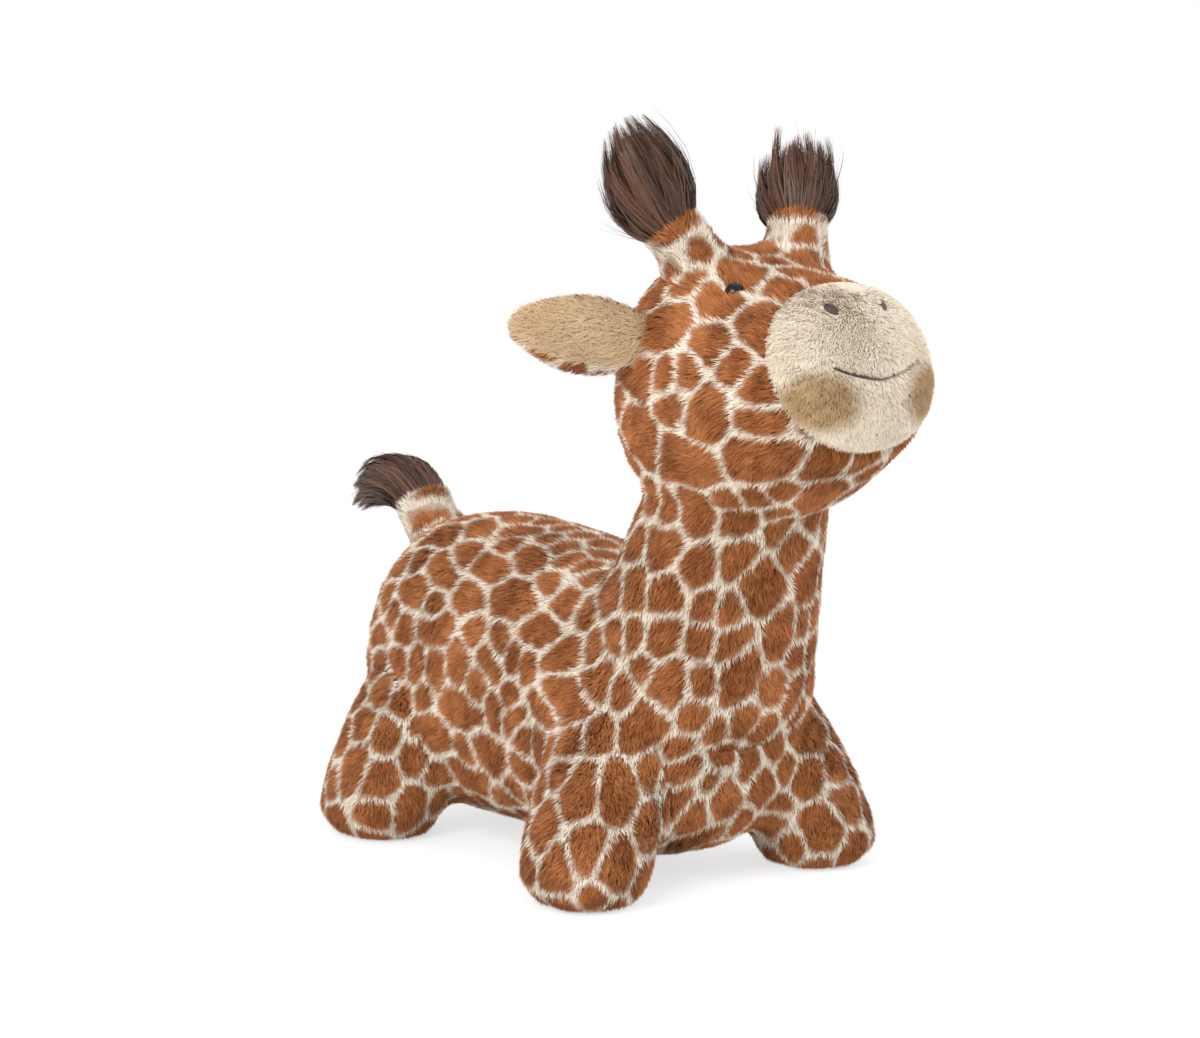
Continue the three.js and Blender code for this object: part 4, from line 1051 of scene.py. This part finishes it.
def hair_tuft(name, form, frame, body, replaces, seed, spread, sway=(0, 0, 0), under=0.0,
              locks=(), count=5600, clumps=46):
    """Long pile from a stem's end. Each hair is a ribbon through the sections of the tuft's form:
    its place in the section moves from its root's to its clump's, and is scaled by the section.
    sway is how far the tips bend aside, growing with the square of the way along, and under how
    much further the lower clumps reach. Each of locks, as [turn, low, high, reach, spread], changes
    the clumps whose place along that turn lies between low and high."""
    pivot, axes = frame
    rng = np.random.default_rng(seed)
    golden = np.pi * (3 - np.sqrt(5))
    k = np.arange(clumps)
    rho, phi = np.sqrt((k + 0.5) / clumps), k * golden + rng.random()
    heart = np.stack([rho * np.cos(phi), rho * np.sin(phi)], 1)
    reach = rng.uniform(0.84, 1.0, clumps) - 0.32 * rho ** 2 * rng.uniform(0.1, 1, clumps)
    reach = np.minimum(reach - under * heart[:, 1], 1)
    r, f = np.sqrt(rng.random(count)) * 0.98, rng.random(count) * 2 * np.pi
    root = np.stack([r * np.cos(f), r * np.sin(f)], 1)
    mine = np.linalg.norm(root[:, None] - heart + rng.normal(0, 0.07, (count, clumps, 2)),
                          axis=-1).argmin(1)
    for turn, low, high, less, wider in locks:
        along = heart @ [np.cos(np.radians(turn)), np.sin(np.radians(turn))]
        chosen = (along > low) & (along < high)
        reach[chosen] *= less
        heart[chosen] *= wider
    stray = np.where(rng.random((count, 1)) < STRAY_HAIRS, STRAY, TIDY)
    goal = heart[mine] * spread + rng.normal(0, 1, (count, 2)) * stray
    steps = len(HAIR_TAPER)
    t = np.linspace(0, 1, steps)
    share = t * (reach[mine] * (1 - 0.34 * rng.random(count) ** 1.6))[:, None]
    drawn = (t ** 2)[:, None]
    place = root[:, None] * (1 - drawn) + goal[:, None] * drawn
    row = section(form, share)
    tilt = np.radians(row[..., 3])
    depth = np.where(place[..., 1] > 0, row[..., 5], row[..., 6]) * place[..., 1]
    local = np.stack([row[..., 0] + row[..., 4] * place[..., 0], row[..., 1] - depth * np.cos(tilt),
                      row[..., 2] - depth * np.sin(tilt)], -1)
    path = pivot + local @ axes + share[..., None] ** 2 * np.asarray(sway, float)
    out = unit((local - row[..., :3]) @ axes + 1e-6)
    ahead = unit(np.gradient(path, axis=1))
    blade = unit(np.cross(ahead, out) + rng.normal(0, 0.5, (count, 1, 3)))
    wide = HAIR_WIDTH * rng.uniform(0.7, 1.25, (count, 1, 1)) * HAIR_TAPER[:, None]
    points = np.stack([path - blade * wide, path + blade * wide], 2).reshape(count, -1, 3)
    strip = np.array([[2 * s, 2 * s + 1, 2 * s + 3, 2 * s + 2] for s in range(steps - 1)])
    faces = (np.arange(count)[:, None, None] * 2 * steps + strip).reshape(-1, 4)
    piece = mesh_piece(name, points.reshape(-1, 3), faces, 4, HAIR, body)
    data = np.zeros((count, steps, 2, 3))
    # the rise along the hair, from which the material paints shade towards the root
    data[..., 1] = t[:, None]
    tone = 0.6 * rng.random(count) + 0.4 * rng.random(clumps)[mine] ** 1.5
    data[..., 2] = tone[:, None, None]
    attribute(piece, "strand", data.reshape(-1, 3))
    flat = unit(np.cross(blade, ahead))
    flat = np.where(dot(flat, out) < 0, -flat, flat)
    normals = np.repeat(unit(out * 0.5 + flat)[:, :, None], 2, 2)
    attribute(piece, "custom_normal", normals.reshape(-1, 3))
    # each hair has its own column of the UV map, from root to end
    u = (np.arange(count)[:, None] + np.tile([0, 1], steps)) / count
    v = np.tile(np.repeat(t, 2), (count, 1))
    bake_map(piece, np.stack([u, v], -1).reshape(-1, 2)[faces.reshape(-1)])
    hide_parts(*replaces)


# Comb directions and crops

def combed(y, z, x_out=0.0):
    """A comb direction that is the same everywhere but for a share away from the middle."""
    def way(points):
        out = np.tile([0.0, y, z], (len(points), 1))
        out[:, 0] = x_out * np.sign(points[:, 0])
        return out
    return way


def combed_along(way):
    """A comb direction that is the same everywhere."""
    return lambda points: np.tile(way, (len(points), 1))


BELLY_TOP = 60  # the cover under this height is belly


def torso_comb(points):
    """Down and back over the flanks, and away from the zip on the belly."""
    out = np.tile([0.0, 0.5, -0.8], (len(points), 1))
    belly = smooth((BELLY_TOP - points[:, 2]) / 30)
    out[:, 0] = belly * np.sign(points[:, 0]) * 1.2
    return out


NOSE = np.array([0, -305, 478.0])


def muzzle_comb(points):
    """From the top of the nose down over the muzzle."""
    return points - NOSE


MOUTH_MIDDLE, MOUTH_CORNER = 0.96, 0.89  # shares of the head's sections
MOUTH_HALF_ANGLE = 80
NOSTRIL_TURN = 38  # degrees out from upright


def mouth_line(count=60):
    """The smile: points round the muzzle between its corners, at the share that the solid has."""
    way = np.linspace(-1, 1, count)
    share = mix(MOUTH_MIDDLE, MOUTH_CORNER, np.abs(way) ** 3)
    return form_point(head, share, 270 + way * MOUTH_HALF_ANGLE)


def nostril_way(normal, side):
    """The long way of a nostril, as the solid has it: it leans down to the nose's tip."""
    up = unit(np.array([0, 0, 1.0]) - normal * normal[2])
    turn = np.radians(NOSTRIL_TURN) * side
    return np.cross(up, normal) * np.cos(turn) + up * np.sin(turn)


EYE_SLIT = np.array([0, -0.979, 0.204])  # the way along which the pile parts over an eye
# Bare places as [middle, long way, how much narrower it is, bare radius, short radius, least share]
FACE = [[point, np.zeros(3), 1.0, 2.3, 6.0, 0.7] for point in mouth_line()]
for _, side in SIDES:
    point, _ = on_form(head, EYE_AT, side)
    FACE.append([point, EYE_SLIT, 1.75, 12.4, 18.0, 0.62])
    point, normal = on_form(head, NOSTRIL_AT, side)
    FACE.append([point, nostril_way(normal, side), 1.4, 6.8, 10.5, 0.75])


def face_crop(root):
    """Pile is left out on the eyes, the nostrils and the mouth, and short round them. The eyes
    show through slits. It is longer round the ears' roots."""
    share = np.ones(len(root))
    for middle, long_way, narrow, bare, short, least in FACE:
        near = np.flatnonzero(np.abs(root - middle).max(1) < short)
        away = root[near] - middle
        along = away @ long_way
        away = np.hypot(along, narrow * np.sqrt(np.maximum((away ** 2).sum(1) - along ** 2, 0)))
        kept = np.where(away < bare, 0, mix(least, 1, smooth((away - bare) / (short - bare))))
        share[near] = np.minimum(share[near], kept)
    for _, side in SIDES:
        away = np.linalg.norm(root - ear_frame(side)[0], axis=1)
        share *= 1 + 0.6 * smooth((36 - away) / 10)
    return share


def muzzle_crop(root):
    """Shorter towards the nose, where the pile parts."""
    return face_crop(root) * mix(0.72, 1, smooth((np.linalg.norm(root - NOSE, axis=1) - 18) / 34))


ZIP_HALF, ZIP_REACH = 15.3, 91.0  # of the bare strip, across and along
ZIP_BACKING = 25.25  # height of the backing over the zip, between its slider and the bladder


def over_zip(points, half, reach):
    """Which points of the cover lie in the belly's bare strip."""
    return ((np.abs(points[..., 0]) < half) & (np.abs(points[..., 1]) < reach)
            & (points[..., 2] < BELLY_TOP))


def zip_crop(root):
    """No pile over the zip."""
    return np.where(over_zip(root, ZIP_HALF, ZIP_REACH), 0.0, 1.0)


def zip_recess(points):
    """The backing steps up over the zip."""
    over = over_zip(points, ZIP_HALF + 0.3, ZIP_REACH - 0.8)
    points[..., 2] = np.where(over, ZIP_BACKING, points[..., 2])
    return points


# The cover

PATTERNED_PLUSH = (PRINTED, "patterned_plush")
CREAM_PLUSH = (CREAM, "cream_plush")
LINING_PLUSH = (LINING, "cream_plush")

sites = all_sites()


def depth_grid(patch):
    return print_depth(patch.points.reshape(-1, 3), sites).reshape(patch.points.shape[:2])


torso_patch = form_patch(torso, neighbours["torso"], 190, 330, least=1.0)
neck_patch = form_patch(neck, neighbours["neck"], 110, 220)
head_patch = form_patch(head, neighbours["head"], 150, 260, 0, MUZZLE_SEAM, muzzle_relief)
muzzle_patch = form_patch(head, neighbours["head"], 90, 220, MUZZLE_SEAM, 1, muzzle_relief)

grid = depth_grid(torso_patch)
backing("torso_backing", torso_patch, *PATTERNED_PLUSH, ["torso_cover"], grid, shape=zip_recess)
strands("torso_pile", torso_patch, torso_comb, *PATTERNED_PLUSH, depth=grid, group=torso_group,
        crop=zip_crop)
grid = depth_grid(neck_patch)
backing("neck_backing", neck_patch, *PATTERNED_PLUSH, ["neck_cover"], grid, step=2)
strands("neck_pile", neck_patch, combed(0.2, -1.0, 0.12), *PATTERNED_PLUSH, depth=grid,
        group=side_group)
grid = depth_grid(head_patch)
backing("head_backing", head_patch, *PATTERNED_PLUSH, ["head_cover"], grid, step=2)
strands("head_pile", head_patch, combed(1.0, -0.35), *PATTERNED_PLUSH, depth=grid,
        group=side_group, crop=face_crop)

# The muzzle's tan zone, on both sides: an oval under the mouth's corner, with a soft edge
TAN_SHARE, TAN_TURNS = 0.785, (211, -31)
TAN_SIZE = (30, 30, 21)  # its half sizes across, along and up
zone = np.stack([form_point(head, TAN_SHARE, turn) for turn in TAN_TURNS])
away = np.linalg.norm((muzzle_patch.points[:, :, None] - zone) / TAN_SIZE, axis=-1).min(-1)
grid = (1 - away) * 20
backing("muzzle_backing", muzzle_patch, *CREAM_PLUSH, ["muzzle_cover"], grid, under=3.8, step=2)
strands("muzzle_pile", muzzle_patch, muzzle_comb, *CREAM_PLUSH, depth=grid, group=side_group,
        crop=muzzle_crop, density=1.7, width=0.74, length=6.8, root_depth=3.5, unruly=0.35)

for name, form in legs.items():
    patch = form_patch(form, neighbours[name], 80, 140, least=1.0)
    grid = depth_grid(patch)
    backing(f"leg_backing_{name}", patch, *PATTERNED_PLUSH, [f"leg_cover_{name}"], grid, step=2)
    strands(f"leg_pile_{name}", patch, combed(0.1, -1.0), *PATTERNED_PLUSH, depth=grid)


# Soles: an oval of crushed pile under each foot

SOLE_HEIGHT = 0.9
SOLE_TURNED = 4.0  # how far its rim turns up


def sole_patch(form):
    """Rings of points that shrink from the foot's rim to its middle, all but flat."""
    rim = form_point(form, 1.0, np.linspace(0, 360, 96, endpoint=False))
    middle = rim.mean(0)
    share = np.linspace(0.97, 0.02, 20)[:, None, None]
    points = middle + (rim - middle) * share
    points[..., 2] = SOLE_HEIGHT
    return Patch(points, np.array([0, 0, -1.0]))


def turned_rim(points):
    """The sole's outer ring turns up into the foot."""
    points[0, :, 2] += SOLE_TURNED
    return points


for name, form in legs.items():
    patch = sole_patch(form)
    grid = depth_grid(patch)
    backing(f"sole_backing_{name}", patch, *PATTERNED_PLUSH, [f"sole_panel_{name}"], grid,
            under=0.3, fill=0.4, shape=turned_rim)
    strands(f"sole_pile_{name}", patch, combed(1.0, 0.0), *PATTERNED_PLUSH, depth=grid,
            density=0.5, root_depth=1.5, length=6.0, unruly=0.6)


# Ears: two leaves sewn edge to edge, the lining to the front

EAR_RIM = 44.0  # degrees that the back wraps round the lower edge to the front
EAR_RIM_TOP = 18.0
EAR_INNER = [0.93, 0.6, 0.985]  # the backing's height, thickness and length as shares of the pile's
EAR_APART = 0.15  # of each backing from the leaf's middle plane


def ear_form():
    """The leaf's sections up its length: [height, half width, half thickness]."""
    rows = [[-13, 17, 1.3], [-10, 19.5, 6], [-2, 22, 8.5], [24, 28.5, 8.2], [46, 28.5, 7.8],
            [66, 23, 7], [81, 16, 5.6], [89, 9.5, 4], [92, 3.5, 2.2]]
    z, wide, thick = stations(rows)
    zero = 0 * z
    return 2.1, np.stack([zero, zero, z, zero, wide, thick, thick], 1)


def ear_patch(frame, front, side):
    """Half the leaf: its turns run over the front or over the back, which shows as a rim."""
    pivot, axes = frame
    share = np.linspace(0, 1, 70)[:, None]
    first, last = (EAR_RIM_TOP, EAR_RIM) if side < 0 else (EAR_RIM, EAR_RIM_TOP)
    low, high = (180 + first, 360 - last) if front else (-last, 180 + first)
    turn = np.linspace(low, high, 60)[None]
    local = form_point(ear_form(), share, turn)
    outside = np.array([0, 1.0 if front else -1.0, 0]) @ axes
    return Patch(pivot + local @ axes, outside, whole=False)


def ear_print(local):
    """Print depths on the back of an ear, from its points along the ear's own axes: five rows of
    three patches, staggered and moved by chance."""
    rng = np.random.default_rng(31)
    u, v = np.meshgrid(np.linspace(-26, 26, 3), np.linspace(0, 88, 5))
    u = u + 8 * (np.arange(5) % 2)[:, None] + rng.normal(0, 3, u.shape)
    v = v + rng.normal(0, 3, v.shape)
    spots = np.stack([u.ravel(), 0 * u.ravel() - 7, v.ravel()], -1)
    way = unit(np.tile([0.2, 0, 1.0], (len(spots), 1)))
    here = np.column_stack([spots, way, np.tile([12, 11], (len(spots), 1))])
    return print_depth(local.reshape(-1, 3), here).reshape(local.shape[:2])


for name, side in SIDES:
    place = ear_frame(side)
    pivot, axes = place
    for front, label in ((True, "lining"), (False, "back")):
        patch = ear_patch(place, front, side)
        # towards the leaf's middle plane, so that the two halves close on each other
        local = (patch.points - pivot) @ axes.T
        inner = local * EAR_INNER + [0, EAR_APART if front else -EAR_APART, 0]
        plush = LINING_PLUSH if front else PATTERNED_PLUSH
        grid = None if front else ear_print(local)
        backing(f"ear_{label}_backing_{name}", patch, *plush, [f"ear_{label}_{name}"], grid,
                body=f"{name}_ear", fill=0.3,
                shape=lambda points, inner=inner: pivot + inner @ axes)
        out = axes[2] + (0.15 * axes[1] if front else 0)
        strands(f"ear_{label}_pile_{name}", patch, combed_along(out), *plush,
                body=f"{name}_ear", depth=grid, root_depth=3.6, density=0.9, width=0.72,
                length=10.0 if front else 7.5, unruly=0.45 if front else 0.3)


# Horns and tail: stems that grow out of the cover, with hair

STEM_DOME = 3  # height of a stem's rounded end
STEM_SIDE = 0.84  # share of a stem's rows on its side, under the dome


def stem_patch(frame, shape, radius, length, own_neighbours, rows=44, columns=84):
    """A sleeve round an axis with a domed end, settled onto the cover that it grows from."""
    pivot, axes = frame
    turn = np.linspace(0, 2 * np.pi, columns, endpoint=False)
    t = np.linspace(0, 1, rows)
    side = t < STEM_SIDE
    bend = np.clip((t - STEM_SIDE) / (1 - STEM_SIDE), 0, 1) * np.pi / 2
    z = np.where(side, mix(-STEM_ROOT, length, t / STEM_SIDE), length + STEM_DOME * np.sin(bend))
    r = np.where(side, radius, radius * np.cos(bend) + 0.3)[:, None]
    local = np.stack([r * np.cos(turn), r * np.sin(turn), z[:, None] + 0 * turn], -1)
    points = pivot + local @ axes
    centre = pivot + np.stack([0 * z, 0 * z, np.minimum(z, length)], -1)[:, None] @ axes
    patch = Patch(points, points - centre)
    patch.wanted = np.tile(side[:, None], (1, columns))
    return patch.settle(shape, own_neighbours)


def stem_print(patch, frame, radius, bands):
    """The print of a stem: rings of patches on its unrolled side, as [height, half height, count,
    turn of the first], and the cover's own patches at its foot. Each ring is laid more than once
    side by side, so that it closes."""
    pivot, axes = frame
    points = patch.points.reshape(-1, 3)
    local = (points - pivot) @ axes.T
    around = radius * np.arctan2(local[:, 1], local[:, 0])
    flat = np.stack([around, 0 * around, local[:, 2]], -1)
    rows = [[radius * (np.radians(first) + k * 2 * np.pi / count), 0, z, 1, 0, 0,
             np.pi * radius / count, tall]
            for z, tall, count, first in bands for k in range(-2 * count, 2 * count)]
    depths = print_depth(points, sites, flat, np.array(rows, float))
    return depths.reshape(patch.points.shape[:2])


def stem_body(patch, frame, part, top):
    """The bend of a stem between the cover and its moving part. It starts at the highest point
    where the stem leaves the cover."""
    pivot, axes = frame
    up = (patch.points - pivot) @ axes[2]
    foot = up[(patch.clear > -1) & (patch.clear < 2)].max()
    start = min(foot, top - 10)
    return "body", part, pivot + axes[2] * start, pivot + axes[2] * (top - HAIR_SINK)


def stem_cover(stem, end, patch, frame, part, top, grid):
    """The backing and the pile of a stem, combed up it. Its pieces and node end in the same way."""
    bend = stem_body(patch, frame, part, top)
    backing(f"{stem}_backing{end}", patch, *PATTERNED_PLUSH, [f"{stem}_stem{end}"], grid, body=bend)
    strands(f"{stem}_pile{end}", patch, combed_along(frame[1][2]), *PATTERNED_PLUSH, body=bend,
            depth=grid, lean=0.8, length=8.5)


# A wing of hair parts from the right tuft, and the left one's top is notched
HORN_LOCKS = {
    "right": [(142, 0.44, 0.66, 0.55, 0.95), (142, 0.66, 1.0, 0.86, 1.16)],
    "left": [(142, -0.04, 0.16, 0.72, 1.0), (142, 0.62, 0.76, 0.68, 1.0)],
}
# The hair's outline as [height, radius]: the right one is longer, as in the photograph
HORN_HAIR = {
    "right": [(13, 19), (20, 25), (33, 33), (53, 37), (74, 33), (92, 25), (107, 17)],
    "left": [(12, 19), (18, 25), (29, 32), (44, 35), (60, 33), (75, 30), (90, 26)],
}
# Degrees round a horn at which its upper ring of patches starts
HORN_FACING = {"left": 226, "right": 240}
HORN_SWAY = 15  # how far the end of a horn's hair bends upright

for name, side in SIDES:
    place = horn_frame(side)
    up = place[1][2]
    patch = stem_patch(place, horns[name], HORN_RADIUS, HORN_STEM, [(head, HORN_FOOT)])
    bands = [[20, 8, 2, HORN_FACING[name]], [-15, 6.5, 5, HORN_FACING[name] + 10]]
    grid = stem_print(patch, place, HORN_RADIUS, bands)
    stem_cover("horn", f"_{name}", patch, place, f"{name}_horn", HORN_STEM, grid)
    tuft = np.array([[0, 0, z, 0, r, r, r] for z, r in HORN_HAIR[name]], float)
    upright = unit(np.array([0, 0, 1.0]) - up * up[2])
    hair_tuft(f"horn_hair_{name}", tuft, place, f"{name}_horn", [f"horn_tuft_{name}"], 11 + side,
              0.95, sway=upright * HORN_SWAY, locks=HORN_LOCKS[name])

TAIL_BANDS = [[24, 3.8, 2, 262], [-3, 7.5, 3, 227], [-34, 7, 5, 250]]
place = tail_frame()
patch = stem_patch(place, tail, TAIL_SLEEVE, TAIL_STEM, [(torso, TAIL_FOOT)])
grid = stem_print(patch, place, TAIL_RADIUS, TAIL_BANDS)
stem_cover("tail", "", patch, place, "tail", TAIL_STEM, grid)

# The hair's reach behind the tail's stem, the drop of its end, and its radius
TAIL_TUFT, TAIL_DROP, TAIL_TUFT_RADIUS = 103, 6, 25


def tail_tuft_form():
    """The tail's hair curls over: [share of its reach, of its drop, further tilt, half width, depth
    above, depth below]."""
    share, drop, tilt, half, above, below = stations([
        [0, 0, 0, 0.88, 0.88, 0.88], [0.2, -2.2, 28, 1.08, 1.0, 1.0],
        [0.52, -2.6, 53, 1.0, 0.98, 1.0], [0.79, -1.3, 65, 0.85, 0.8, 0.86],
        [1, 1, 76, 0.6, 0.66, 0.7],
    ])
    lean = np.radians(TAIL_TILT)
    start = (TAIL_STEM - HAIR_SINK) * np.array([np.sin(lean), np.cos(lean)])
    rows = [0 * share, start[0] + TAIL_TUFT * share, start[1] - TAIL_DROP * drop,
            -TAIL_TILT - tilt, TAIL_TUFT_RADIUS * half, TAIL_TUFT_RADIUS * above,
            TAIL_TUFT_RADIUS * below]
    return np.stack(rows, 1)


hair_tuft("tail_hair", tail_tuft_form(), (place[0], np.eye(3)), "tail", ["tail_tuft"], 21, 0.9,
          under=0.1)


# Stage, light and camera

def area_light(name, place, target, size, power):
    data = bpy.data.lights.new(name, "AREA")
    data.size, data.energy = size, power
    light = bpy.data.objects.new(name, data)
    light.location = place
    light.rotation_euler = (Vector(target) - Vector(place)).to_track_quat("-Z", "Y").to_euler()
    bpy.context.scene.collection.objects.link(light)


def seen_directly(owner):
    """1 for the camera's own rays, and for those that gloss or glass sends on."""
    path = add(owner, "LightPath")
    most = add(owner, "Math", {0: path["Is Camera Ray"], 1: path["Is Glossy Ray"]},
               operation="MAXIMUM")[0]
    return add(owner, "Math", {0: most, 1: path["Is Transmission Ray"]}, operation="MAXIMUM")[0]


# Matt paper: the camera sees it white but for the object's shadow
paper = new_material("matt_paper")
plain = add(paper, "BsdfDiffuse", {"Color": colour("#F2F0EC")})[0]
pale = add(paper, "BsdfDiffuse", {"Color": (0.42, 0.42, 0.42, 1)})[0]
glow = add(paper, "Emission", {"Color": (1, 1, 1, 1), "Strength": 0.68})[0]
both = add(paper, "AddShader", {0: pale, 1: glow})[0]
mixed = add(paper, "MixShader", {0: seen_directly(paper), 1: plain, 2: both})[0]
add(paper, "OutputMaterial", {"Surface": mixed})
FLOOR = 6000  # half its side
floor = mesh_piece("floor", [(-FLOOR, -FLOOR, 0), (FLOOR, -FLOOR, 0), (FLOOR, FLOOR, 0),
                             (-FLOOR, FLOOR, 0)], [[0, 1, 2, 3]], 4, paper)

SKY = 0.88  # the world's strength on the object, where the camera sees 1
world = bpy.data.worlds.new("studio")
bpy.context.scene.world = world
world.use_nodes = True
background = world.node_tree.nodes["Background"]
background.inputs[0].default_value = (1, 1, 1, 1)
strength = add(world, "Math", {0: seen_directly(world), 1: 1 - SKY, 2: SKY},
               operation="MULTIPLY_ADD")[0]
world.node_tree.links.new(strength, background.inputs[1])
area_light("key", (-2.6, -1.5, 2.1), (0, -0.05, 0.28), 1.8, 80)
area_light("fill", (2.2, -1.6, 1.4), (0, -0.05, 0.25), 2.0, 18)

azimuth, elevation = np.radians(CAMERA_AZIMUTH), np.radians(CAMERA_ELEVATION)
back = Vector((np.sin(azimuth) * np.cos(elevation), -np.cos(azimuth) * np.cos(elevation),
               np.sin(elevation)))
camera = bpy.data.objects.new("camera", bpy.data.cameras.new("camera"))
camera.data.lens, camera.data.sensor_width = CAMERA_LENS, SENSOR
camera.location = Vector(CAMERA_TARGET) + back * CAMERA_DISTANCE
camera.rotation_euler = back.to_track_quat("Z", "Y").to_euler()
bpy.context.scene.collection.objects.link(camera)
bpy.context.scene.camera = camera
bpy.context.scene.view_settings.view_transform = "Standard"
